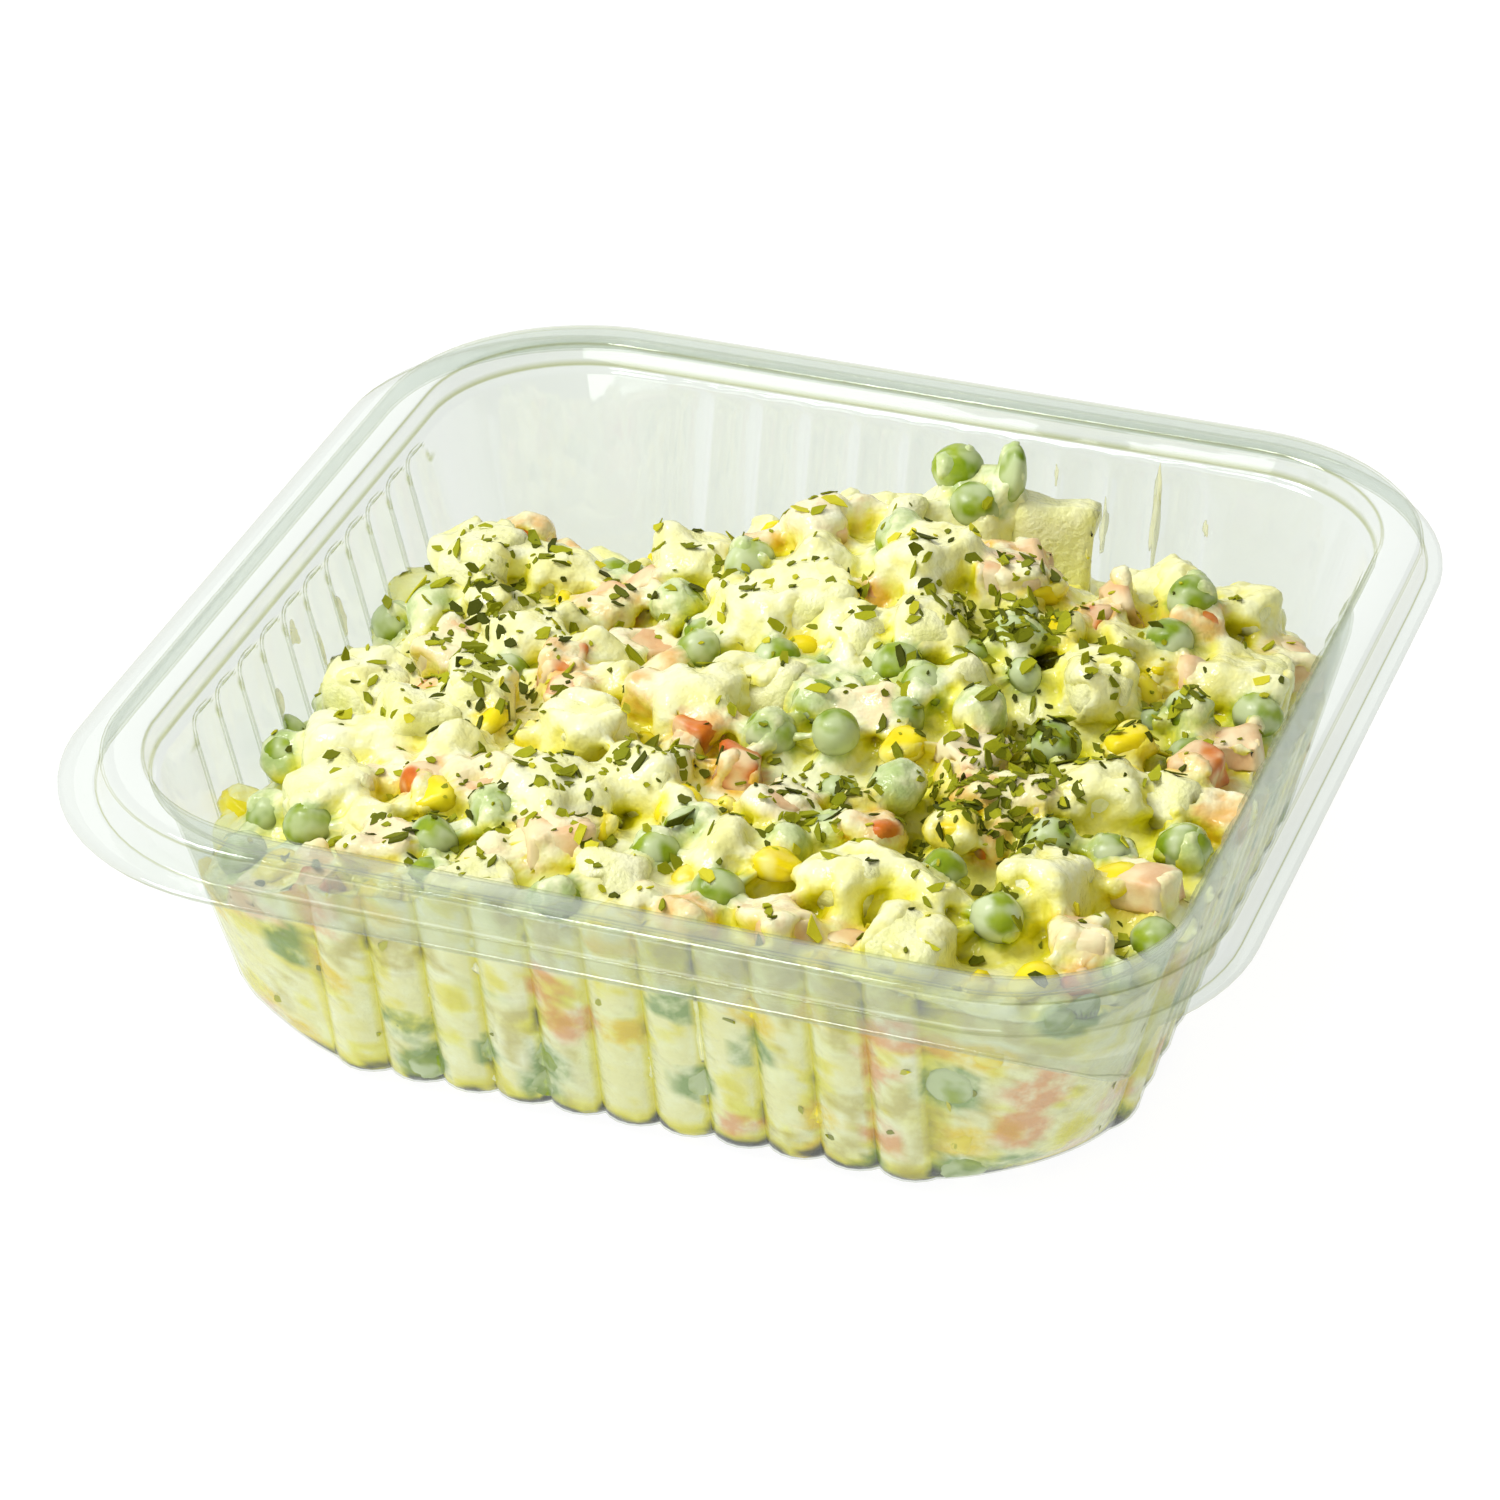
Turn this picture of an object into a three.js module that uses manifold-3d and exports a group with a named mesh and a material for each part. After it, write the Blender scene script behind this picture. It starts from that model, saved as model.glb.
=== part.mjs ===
// Olivier salad in a clear, fluted deli tray with a peel tab on one corner.
// Millimetres, +Z up. The origin lies on the table under the middle of the tray's flange.
import * as THREE from 'three';
import { mergeVertices } from 'three/addons/utils/BufferGeometryUtils.js';
import Module from 'manifold-3d';

const wasm = await Module();
wasm.setup();

// Tray: a bowl with a flat sealing ring, a step down, and a trimmed flange
const trayHeight = 48.5;
const sheet = 0.6;
const ringInner = { half: 82, radius: 26.9 };
const ringOuter = { half: 88.7, radius: 34.3 };
const flange = { halfX: 93.75, halfY: 94, radius: 40, drop: 5.4 };
const trimShift = 1.75;
const stepDraft = 0.5;
const tab = { right: 83.7, radius: 4 };

// Bowl wall: plain corners, and a row of upright flutes on each side
const wallTop = { half: 79.6, radius: 26, drop: 6.5 };
const wallFoot = { half: 69.4, radius: 21.4 };
const funnel = { half: 81.3, radius: 27, drop: 4.2 };
const foot = { radius: 3, least: 1, lean: 0.24, cornerBow: [0.25, 0.55, 0.9] };
const flute = { count: 11, pitch: 8.73, depth: 2.1, steps: 4 };
const cornerSteps = { plain: 7, fluted: 5, tab: 4 };

// Salad: a heap that is high in the middle and at the front, with its pieces half sunk in it
const foodGap = { core: 0.3, pieces: 0.5, above: 20 };
const heap = { crown: -0.5, cell: 9, least: 6 };
const falls = [
  { axis: 'x', from: -78, drop: 20.3, reach: 22.9 },
  { axis: 'y', from: 78, drop: 43.3, reach: 37.8 },
  { axis: 'x', from: 78, drop: 4.6, reach: 37 },
  { axis: 'y', from: -76, drop: 6.3, reach: 45 },
];
const mounds = [
  { x: -60, y: 27, rise: 12, spread: 11 },
  { x: -26, y: 8, rise: -5.7, spread: 6 },
  { x: 32, y: 31, rise: 12, spread: 24 },
  { x: -2, y: 39, rise: 12, spread: 19 },
  { x: 16, y: 49, rise: 5, spread: 6.5 },
  { x: 58, y: 43, rise: 12, spread: 7.4 },
];

// Pieces: least and greatest size of each kind along x, y and z, how far its middle lies above
// the heap as a share of its height, and its share of the scattered pieces
const kinds = {
  potato: { size: [[11, 15], [10, 13], [9, 12]], proud: -0.07, share: 0.36 },
  slab: { size: [[14, 15], [7, 8], [17, 18]], proud: 0.1, share: 0 },
  carrot: { size: [[7, 9], [6.5, 8], [6, 7.5]], proud: -0.05, share: 0.1 },
  ham: { size: [[9, 12], [8, 10], [5, 7]], proud: -0.05, share: 0.13 },
  pea: { size: [[7.4, 8.8], [7.4, 8.8], [7.2, 8.4]], proud: 0.03, share: 0.24 },
  corn: { size: [[8, 9.5], [6.5, 8], [4.5, 5.5]], proud: 0, share: 0.17 },
};
const scattered = { count: 66, tries: 3000, spacing: 1.32, edge: 3, back: 34, lift: 0, seed: 1931 };
const tilt = { piece: 0.25, flake: 0.3 };
const handCut = [0.82, 1.08];
const roundSides = { around: 6, down: 4 };
const herbs = { count: 36, long: [4, 6.5], wide: [1.4, 2.2], thick: 0.7, stray: 1.5, rest: 0.46, seed: 77 };

// Pieces that stand out, by kind: x, y and extra lift, and for some their own scale and turn
const standing = { turn: [-0.3, 0.06, 0.34] };
const wrinkled = { scale: [0.6, 1, 1.35], turn: [0, 0.1, 0.34] };
const plump = { scale: [1.05, 1.05, 1] };
const standouts = {
  potato: [
    [-58, 20, -1], [-46, 23, -2], [15, 50, -1], [6, 47, -2], [50, 40, -3], [63, 42, -3], [-64, -15, 1],
    [-43, -20, 2], [-22, -29, 1], [-19, -48, 1], [30, -56, 1], [43, -68, 0], [49, 6, 1],
    [57, -47, 1], [-6, 8, 1], [2, 12, 1], [68, 25, 1], [-56, -50, 1], [-49, -28, 1], [-9, -40, 0],
    [17, 23, 1], [-8, -17, 0], [21, 9, 0], [57, -20, 0], [-42, 0, 0], [-60, -34, 0],
  ],
  slab: [[29, 49, 1.5, standing]],
  pea: [
    [13, 50, 9, plump], [17.5, 45, 2.2, plump], [22.5, 49, 12, wrinkled],
    [16, -21, 2], [29, -31, 1], [0, -2, 0], [-14, 0, 0],
    [-13, 22, 1], [19, 0, 0], [25, -4, 0], [35, -7, 0], [35, 11, 0], [3, -50, 0], [0, -58, 0],
    [12, -64, 0], [-27, -55, 1], [-34, -62, 0], [-56, -58, 0], [-71, -33, 1], [-63, 10, 1],
    [57, 34, 2], [56, 25, 1], [64, 8, 1], [73, 16, 1], [73, -27, 0], [53, -57, 1], [10, 29, 0],
  ],
  carrot: [
    [70, -6, 1], [58, 31, 1], [-33, -10, 1], [-15, -17, 1], [-5, -23, 0], [10, -71, 0], [-41, -47, 0],
  ],
  ham: [
    [-15, -59, 1], [-40, -65, 0], [-4, 31, 1], [-33, -45, 0], [66, -57, 1], [37, -17, 0],
    [-25, 6, 1], [14, -41, 0], [72, 37, 2], [72, 5, 0], [70, -39, 0],
  ],
  corn: [
    [19, -56, 1], [-38, -52, 1], [40, -38, 1], [58, -5, 1], [66, -40, 0], [-14, 14, 1],
    [-1, -45, 0], [41, 16, 0], [2, 2, 0],
  ],
};
// What the peas on top of the heap and the standing slab rest against
const propping = [['potato', 17, 48, 0.5], ['ham', 30, 24.5, 1]];

// A repeatable draw between 0 and 1
function drawFrom(seed) {
  let state = seed;
  return () => {
    state = (1664525 * state + 1013904223) % 4294967296;
    return state / 4294967296;
  };
}

function between(draw, [low, high]) {
  return low + (high - low) * draw();
}

// Points round a quarter turn, counter-clockwise from the given angle
function quarter(centreX, centreY, radius, from, steps, z) {
  return Array.from({ length: steps + 1 }, (_, i) => {
    const angle = from + (Math.PI / 2) * (i / steps);
    return new THREE.Vector3(centreX + radius * Math.cos(angle), centreY + radius * Math.sin(angle), z);
  });
}

// A rounded rectangle, counter-clockwise seen from above
function plainLoop(halfX, halfY, radius, z, shiftX = 0) {
  const corners = [[1, 1], [-1, 1], [-1, -1], [1, -1]];
  return corners.flatMap(([sx, sy], i) => {
    const centreX = shiftX + sx * (halfX - radius);
    const centreY = sy * (halfY - radius);
    return quarter(centreX, centreY, radius, (i * Math.PI) / 2, cornerSteps.plain, z);
  });
}

// The flange's outline, squared out to the peel tab on its front right corner
function flangeLoop(z) {
  const outline = plainLoop(flange.halfX, flange.halfY, flange.radius, z, -trimShift);
  const front = -flange.halfY;
  const middle = tab.right - tab.radius;
  const bend = quarter(middle, front + tab.radius, tab.radius, -Math.PI / 2, cornerSteps.tab, z);
  const across = tab.right - (flange.halfX - trimShift - flange.radius);
  const rise = Math.sqrt(flange.radius ** 2 - across ** 2);
  const joint = new THREE.Vector3(tab.right, front + flange.radius - rise, z);
  const before = outline.filter((p) => p.y > 0 || p.x < 0);
  const after = outline.filter((p) => p.y <= 0 && p.x > 0 && p.y > joint.y + 1);
  return [...before, ...bend, joint, ...after];
}

// How far a flute stands out at a distance along its side: arcs side by side
function fluteDepth(along) {
  const bulge = (flute.pitch ** 2 / 4 + flute.depth ** 2) / (2 * flute.depth);
  const count = along / flute.pitch + flute.count / 2;
  const across = (count - Math.floor(count + 1e-9) - 0.5) * flute.pitch;
  return Math.sqrt(bulge ** 2 - across ** 2) - (bulge - flute.depth);
}

// The way from a point of an arc to the straight line between the arc's ends
function towardsChord(p, arc) {
  const first = arc[0].clone();
  const last = arc[arc.length - 1].clone();
  return new THREE.Line3(first, last).closestPointToPoint(p, true, new THREE.Vector3()).sub(p);
}

// A rounded square with flutes along its four sides; a bow under 1 flattens its corners
function flutedLoop(half, radius, z, bow = 1) {
  const span = flute.count * flute.pitch;
  const steps = flute.count * flute.steps;
  const points = [];
  for (let side = 0; side < 4; side += 1) {
    const turn = (side * Math.PI) / 2;
    for (let i = 0; i <= steps; i += 1) {
      const along = (i / steps - 0.5) * span;
      const out = half + (i % flute.steps ? fluteDepth(along) : 0);
      const p = new THREE.Vector3(out, along, z);
      points.push(p.applyAxisAngle(new THREE.Vector3(0, 0, 1), turn));
    }
    const middle = half - radius;
    const bend = quarter(middle, middle, radius, 0, cornerSteps.fluted, z);
    bend.forEach((p) => p.add(towardsChord(p, bend).multiplyScalar(1 - bow)));
    const turned = bend.map((p) => p.applyAxisAngle(new THREE.Vector3(0, 0, 1), turn));
    points.push(...turned.slice(middle > span / 2 + 0.05 ? 0 : 1));
  }
  return points;
}

// The bowl's loops from its foot to the funnel under the ring, moved inwards by an offset
function bowlLoops(offset, fluted = true) {
  const loop = (half, radius, z, bow) => (
    fluted ? flutedLoop(half, radius, z, bow) : plainLoop(half, half, radius, z)
  );
  const bend = Math.max(foot.radius - offset, foot.least);
  const half = wallFoot.half - offset;
  const radius = wallFoot.radius - offset;
  const cut = bend * (1 - Math.SQRT1_2);
  return [
    loop(half - bend, radius - bend / 2, offset, foot.cornerBow[0]),
    loop(half - cut, radius, offset + cut, foot.cornerBow[1]),
    loop(half + foot.lean * bend, radius, offset + bend, foot.cornerBow[2]),
    loop(wallTop.half - offset, wallTop.radius - offset, trayHeight - wallTop.drop),
    plainLoop(funnel.half - offset, funnel.half - offset, funnel.radius, trayHeight - funnel.drop),
  ];
}

// Joins two loops that run the same way round: point to point if they match, and if not by
// always stepping the one whose angle lags
function stitch(lower, upper, triangles) {
  if (lower.length === upper.length) {
    lower.forEach((p, i) => {
      const next = (i + 1) % lower.length;
      triangles.push(p, lower[next], upper[next], p, upper[next], upper[i]);
    });
    return;
  }
  const angle = (p) => Math.atan2(p.y, p.x);
  const ordered = (loop) => {
    const start = loop.indexOf(loop.reduce((a, b) => (angle(a) < angle(b) ? a : b)));
    return [...loop.slice(start), ...loop.slice(0, start)];
  };
  const a = ordered(lower);
  const b = ordered(upper);
  let i = 0;
  let j = 0;
  while (i < a.length || j < b.length) {
    const nextA = i + 1 < a.length ? angle(a[i + 1]) : angle(a[0]) + 2 * Math.PI;
    const nextB = j + 1 < b.length ? angle(b[j + 1]) : angle(b[0]) + 2 * Math.PI;
    const stepA = j >= b.length || (i < a.length && nextA < nextB);
    const here = a[i % a.length];
    const there = b[j % b.length];
    if (stepA) {
      triangles.push(here, a[(i + 1) % a.length], there);
      i += 1;
    } else {
      triangles.push(here, b[(j + 1) % b.length], there);
      j += 1;
    }
  }
}

// A closed skin through loops, with its first and last loop filled from their middles
function skin(loops) {
  const triangles = [];
  const middle = (loop) => new THREE.Vector3(0, 0, loop[0].z);
  const first = loops[0];
  const last = loops[loops.length - 1];
  first.forEach((p, i) => triangles.push(middle(first), first[(i + 1) % first.length], p));
  loops.slice(1).forEach((loop, i) => stitch(loops[i], loop, triangles));
  last.forEach((p, i) => triangles.push(p, last[(i + 1) % last.length], middle(last)));
  return mergeVertices(new THREE.BufferGeometry().setFromPoints(triangles), 1e-4);
}

function solidOf(geometry) {
  const bare = geometry.clone();
  bare.deleteAttribute('normal');
  bare.deleteAttribute('uv');
  const merged = mergeVertices(bare, 1e-4);
  const vertProperties = new Float32Array(merged.attributes.position.array);
  const triVerts = new Uint32Array(merged.index.array);
  return new wasm.Manifold(new wasm.Mesh({ numProp: 3, vertProperties, triVerts }));
}

function geometryOf(solid) {
  const mesh = solid.getMesh();
  const geometry = new THREE.BufferGeometry();
  geometry.setAttribute('position', new THREE.BufferAttribute(mesh.vertProperties, 3));
  geometry.setIndex(new THREE.BufferAttribute(mesh.triVerts, 1));
  return geometry;
}

function trayGeometry() {
  const top = trayHeight;
  const under = trayHeight - sheet;
  const ledge = trayHeight - flange.drop;
  const square = ({ half, radius }, grow, z) => plainLoop(half + grow, half + grow, radius, z);
  return skin([
    ...bowlLoops(0),
    square(ringInner, sheet, under),
    square(ringOuter, -sheet, under),
    square(ringOuter, stepDraft - sheet, ledge - sheet),
    flangeLoop(ledge - sheet),
    flangeLoop(ledge),
    square(ringOuter, stepDraft, ledge),
    square(ringOuter, 0, top),
    square(ringInner, 0, top),
    ...bowlLoops(sheet).reverse(),
  ]);
}

// Height of the heap's surface above the table
function heapTop(x, y) {
  let height = trayHeight + heap.crown;
  for (const fall of falls) {
    const away = Math.abs((fall.axis === 'x' ? x : y) - fall.from);
    height -= fall.drop * Math.exp(-away / fall.reach);
  }
  for (const mound of mounds) {
    const square = (x - mound.x) ** 2 + (y - mound.y) ** 2;
    height += mound.rise * Math.exp(-square / (2 * mound.spread ** 2));
  }
  return Math.max(height, heap.least);
}

// The space inside the bowl that food can fill, open to well above the rim
function bowlSpace(offset, fluted) {
  const half = ringInner.half - offset;
  const tall = trayHeight + foodGap.above;
  return solidOf(skin([
    ...bowlLoops(offset, fluted),
    plainLoop(half, half, ringInner.radius, trayHeight),
    plainLoop(half, half, ringInner.radius, tall),
  ]));
}

function heapSolid() {
  const cells = 2 * Math.ceil(ringInner.half / heap.cell);
  const wide = cells * heap.cell;
  const box = new THREE.BoxGeometry(wide, wide, 1, cells, cells, 1);
  const position = box.attributes.position;
  for (let i = 0; i < position.count; i += 1) {
    const x = position.getX(i);
    const y = position.getY(i);
    position.setZ(i, position.getZ(i) > 0 ? heapTop(x, y) : -1);
  }
  return solidOf(box);
}

// A cube cut by hand has no two edges alike; a pea or a kernel is a ball pressed to size
function pieceGeometry(kind, size, draw) {
  if (kind === 'pea' || kind === 'corn') {
    const ball = new THREE.SphereGeometry(0.5, roundSides.around, roundSides.down);
    return ball.scale(...size);
  }
  const box = mergeVertices(new THREE.BoxGeometry(...size).deleteAttribute('normal').deleteAttribute('uv'));
  const position = box.attributes.position;
  for (let i = 0; i < position.count; i += 1) {
    const cut = between(draw, handCut);
    position.setXYZ(i, position.getX(i) * cut, position.getY(i) * cut, position.getZ(i) * cut);
  }
  return box;
}

// Where every piece lies: the ones that stand out first, then the rest where room is left
function placePieces() {
  const draw = drawFrom(scattered.seed);
  const pieces = [];
  const add = (kind, x, y, lift, own = {}) => {
    const scale = own.scale ?? [1, 1, 1];
    const size = kinds[kind].size.map((range, axis) => between(draw, range) * scale[axis]);
    const lean = [-tilt.piece, tilt.piece];
    const drawn = [between(draw, lean), between(draw, lean), Math.PI * draw()];
    const turn = own.turn ?? drawn;
    const z = heapTop(x, y) + lift + kinds[kind].proud * size[2];
    const reach = (size[0] + size[1]) / 4;
    pieces.push({ kind, x, y, z, size, turn, reach });
  };
  for (const [kind, places] of Object.entries(standouts)) {
    for (const place of places) add(kind, ...place);
  }
  const edge = wallTop.half - scattered.edge;
  const total = pieces.length + scattered.count;
  for (let tries = 0; pieces.length < total && tries < scattered.tries; tries += 1) {
    const x = between(draw, [-edge, edge]);
    const y = between(draw, [-edge, scattered.back]);
    let pick = draw();
    const kind = Object.keys(kinds).find((name) => (pick -= kinds[name].share) < 0) ?? 'potato';
    const reach = (kinds[kind].size[0][0] + kinds[kind].size[1][0]) / 4;
    const near = (p) => Math.hypot(p.x - x, p.y - y) < (p.reach + reach) * scattered.spacing;
    if (!pieces.some(near)) add(kind, x, y, scattered.lift);
  }
  propping.forEach((place) => add(...place));
  return pieces;
}

// Dried herb flakes lie flat on the heap, most of them right of its middle
function placeHerbs(pieces) {
  const draw = drawFrom(herbs.seed);
  return Array.from({ length: herbs.count }, () => {
    const below = pieces[Math.floor(draw() * pieces.length)];
    const size = [between(draw, herbs.long), between(draw, herbs.wide), herbs.thick];
    const x = below.x + between(draw, [-herbs.stray, herbs.stray]);
    const y = below.y + between(draw, [-herbs.stray, herbs.stray]);
    const z = below.z + below.size[2] * herbs.rest;
    return { x, y, z, size, turn: [tilt.flake * draw(), tilt.flake * draw(), Math.PI * draw()] };
  });
}

function saladGeometry() {
  const draw = drawFrom(scattered.seed + 1);
  const pieces = placePieces();
  const shapes = [
    ...pieces.map((piece) => placed(pieceGeometry(piece.kind, piece.size, draw), piece)),
    ...placeHerbs(pieces).map((flake) => placed(new THREE.BoxGeometry(...flake.size), flake)),
  ];
  const pile = shapes.reduce((a, b) => a.add(b)).intersect(bowlSpace(sheet + foodGap.pieces, false));
  const core = heapSolid().intersect(bowlSpace(sheet + foodGap.core, true));
  const parts = core.add(pile).decompose();
  return geometryOf(parts.reduce((a, b) => (a.volume() > b.volume() ? a : b)));
}

function placed(geometry, { x, y, z, turn }) {
  const matrix = new THREE.Matrix4().makeRotationFromEuler(new THREE.Euler(...turn));
  return solidOf(geometry.applyMatrix4(matrix.setPosition(x, y, z)));
}

function named(name, geometry, material) {
  const mesh = new THREE.Mesh(geometry, material);
  mesh.name = name;
  return mesh;
}

const clearPlastic = new THREE.MeshStandardMaterial({
  color: 0xdfe8dc, roughness: 0.08, metalness: 0, transparent: true, opacity: 0.35,
});
const dressedSalad = new THREE.MeshStandardMaterial({ color: 0xf1edb4, roughness: 0.45, metalness: 0 });

const group = new THREE.Group();
group.add(named('tray', trayGeometry(), clearPlastic));
group.add(named('salad', saladGeometry(), dressedSalad));
group.position.x = trimShift;

export default group;
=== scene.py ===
from math import asin, cos, exp, hypot, log, pi, radians, sin, sqrt
import bmesh
import bpy
import numpy as np
from mathutils import Matrix, Vector, noise
from mathutils.bvhtree import BVHTree


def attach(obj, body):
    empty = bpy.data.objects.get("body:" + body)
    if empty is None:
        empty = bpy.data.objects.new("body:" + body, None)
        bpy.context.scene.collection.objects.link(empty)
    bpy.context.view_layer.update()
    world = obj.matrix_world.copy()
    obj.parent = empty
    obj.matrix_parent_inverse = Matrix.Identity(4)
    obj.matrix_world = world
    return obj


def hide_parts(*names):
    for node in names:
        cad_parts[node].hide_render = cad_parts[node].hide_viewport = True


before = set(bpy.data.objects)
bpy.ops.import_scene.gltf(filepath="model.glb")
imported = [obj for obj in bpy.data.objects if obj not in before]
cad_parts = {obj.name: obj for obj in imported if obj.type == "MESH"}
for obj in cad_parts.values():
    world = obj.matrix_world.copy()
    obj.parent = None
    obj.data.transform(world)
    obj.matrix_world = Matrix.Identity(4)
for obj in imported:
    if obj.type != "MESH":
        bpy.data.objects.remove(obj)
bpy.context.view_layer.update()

# everything is modelled in millimetres in the bowl's own place, and goes into the frame at the end
bowlShift = 1.75
toFrame = Matrix.Scale(0.001, 4) @ Matrix.Translation((bowlShift, 0, 0))


def draws(seed):  # a repeatable row of numbers, between 0 and 1 or between two others
    state = seed

    def draw(low=0.0, high=1.0):
        nonlocal state
        state = (1664525 * state + 1013904223) % 4294967296
        return low + (high - low) * (state / 4294967296)

    return draw


def smoothStep(low, high, x):
    t = np.clip((x - low) / (high - low), 0.0, 1.0)
    return t * t * (3 - 2 * t)


def inScene(name, data):
    thing = bpy.data.objects.new(name, data)
    bpy.context.scene.collection.objects.link(thing)
    return thing


def placed(name, mesh, material, smooth=True):  # a mesh in millimetres becomes a piece in the frame
    mesh.transform(toFrame)
    mesh.materials.clear()
    piece = inScene(name, mesh)
    mesh.materials.append(material)
    if smooth:
        mesh.shade_smooth()
    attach(piece, "root")
    return piece


def evaluated(bm, modifiers):  # a bmesh with modifiers applied, as a plain mesh
    mesh = bpy.data.meshes.new("scratch")
    bm.to_mesh(mesh)
    bm.free()
    scratch = inScene("scratch", mesh)
    for kind, settings in modifiers:
        modifier = scratch.modifiers.new(kind.title(), kind)
        for key, value in settings.items():
            setattr(modifier, key, value)
    bpy.context.view_layer.update()
    depsgraph = bpy.context.evaluated_depsgraph_get()
    result = bpy.data.meshes.new_from_object(scratch.evaluated_get(depsgraph))
    bpy.data.objects.remove(scratch)
    bpy.data.meshes.remove(mesh)
    return result


def coordinates(mesh, what="vertices", key="co"):
    values = np.empty(3 * len(getattr(mesh, what)))
    getattr(mesh, what).foreach_get(key, values)
    return values.reshape(-1, 3)


def store(mesh, name, kind, values):
    attribute = mesh.attributes.new(name, kind, "POINT")
    attribute.data.foreach_set("color" if kind == "FLOAT_COLOR" else "value", values.ravel())


def merged(shapes):  # many shapes' points and faces in one row, and the shape that each face belongs to
    points = np.concatenate([shape[0] for shape in shapes])
    faces, owners, count = [], [], 0
    for owner, shape in enumerate(shapes):
        faces += [[i + count for i in face] for face in shape[1]]
        owners += [owner] * len(shape[1])
        count += len(shape[0])
    return points.tolist(), faces, owners


def joined(shapes):
    mesh = bpy.data.meshes.new("joined")
    points, faces, _ = merged(shapes)
    mesh.from_pydata(points, [], faces)
    mesh.update()
    return mesh


def treeOf(shapes):
    points, faces, owners = merged(shapes)
    return BVHTree.FromPolygons(points, faces), owners


def linear(hexText):
    parts = [int(hexText[i:i + 2], 16) / 255 for i in (1, 3, 5)]
    return [c / 12.92 if c <= 0.04045 else ((c + 0.055) / 1.055) ** 2.4 for c in parts] + [1.0]


def add(tree, kind, inputs, out=0, stops=(), **settings):
    # adds a node and gives back one output; an input is a link, a number or a hex colour
    node = tree.nodes.new("ShaderNode" + kind)
    for key, value in settings.items():
        setattr(node, key, value)
    for key, value in inputs.items():
        if isinstance(value, bpy.types.NodeSocket):
            tree.links.new(value, node.inputs[key])
        else:
            node.inputs[key].default_value = linear(value) if isinstance(value, str) else value
    for _ in stops[2:]:
        node.color_ramp.elements.new(0.5)
    for i, (place, hexText) in enumerate(stops):
        node.color_ramp.elements[i].position = place
        node.color_ramp.elements[i].color = linear(hexText)
    return node.outputs[out] if node.outputs else node


def newMaterial(name, build, *looks):
    material = bpy.data.materials.new(name)
    material.use_nodes = True
    tree = material.node_tree
    tree.nodes.clear()
    coords = add(tree, "TexCoord", {}, "Object")
    add(tree, "OutputMaterial", {"Surface": build(tree, coords, *looks)})
    return material


def reliefed(tree, coords, colour, size, detail, roughness, strength, deep, surface):
    # a surface with a fine relief of this size and depth in mm
    fine = add(tree, "TexNoise", {"Vector": coords, "Scale": 1000 / size, "Detail": detail,
                                  "Roughness": roughness})
    bump = add(tree, "Bump", {"Height": fine, "Strength": strength, "Distance": deep / 1000})
    return add(tree, "BsdfPrincipled", {"Base Color": colour, "Normal": bump, **surface})


eased = {"interpolation_type": "SMOOTHSTEP"}


def clearTray(tree, coords):
    # amorphous PET sheet, thermoformed: clear and glossy with a faint haze, grey-green edge on
    wave = add(tree, "TexNoise", {"Vector": coords, "Scale": 1000 / 16, "Detail": 2.0, "Roughness": 0.55})
    ripple = add(tree, "Bump", {"Height": wave, "Strength": 0.15, "Distance": 0.0005})
    facing = add(tree, "LayerWeight", {"Blend": 0.5}, "Facing")
    edgeOn = [(0.0, "#f1f4f0"), (0.6, "#f4f6f4"), (0.94, "#f6f7f2"), (1.0, "#c8cca8")]
    tint = add(tree, "ValToRGB", {"Fac": facing}, stops=edgeOn)
    crease = add(tree, "Attribute", {}, "Fac", attribute_name="crease")
    bent = add(tree, "MapRange", {"Value": crease, "From Min": 0.5, "From Max": 1.2}, **eased)
    lined = add(tree, "Mix", {"Factor": bent, 6: tint, 7: "#d0d4b0"}, 2, data_type="RGBA")
    through = add(tree, "BsdfTransparent", {"Color": lined})
    shine = add(tree, "BsdfGlossy", {"Normal": ripple, "Color": "#f6f8f6", "Roughness": 0.06})
    grazing = add(tree, "Math", {0: facing, 1: 5.0}, operation="POWER")
    share = add(tree, "MapRange", {"Value": grazing, "To Min": 0.05, "To Max": 0.22})
    clear = add(tree, "MixShader", {0: share, 1: through, 2: shine})
    haze = add(tree, "BsdfDiffuse", {"Color": "#e6ebe4"})
    return add(tree, "MixShader", {0: 0.07, 1: clear, 2: haze})


foodLooks = {  # sizes and depth in mm
    "grain": 5, "filmSize": 6, "filmFrom": 0.45, "filmTo": 0.6, "deepFrom": 0.15, "deepTo": 0.7,
    # deep is the colour of the painted shade in the crevices, and the two values after it set where that
    # shade comes in
    "deep": "#8a8606", "bumpSize": 1.6, "bump": 0.35, "bumpDeep": 0.5, "roughness": 0.32, "wet": 0.3,
}


def food(name, base, patches, coat, **changes):
    looks = {"base": base, "patches": patches, "coat": coat, **foodLooks, **changes}
    return newMaterial(name, foodSurface, looks)


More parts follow.
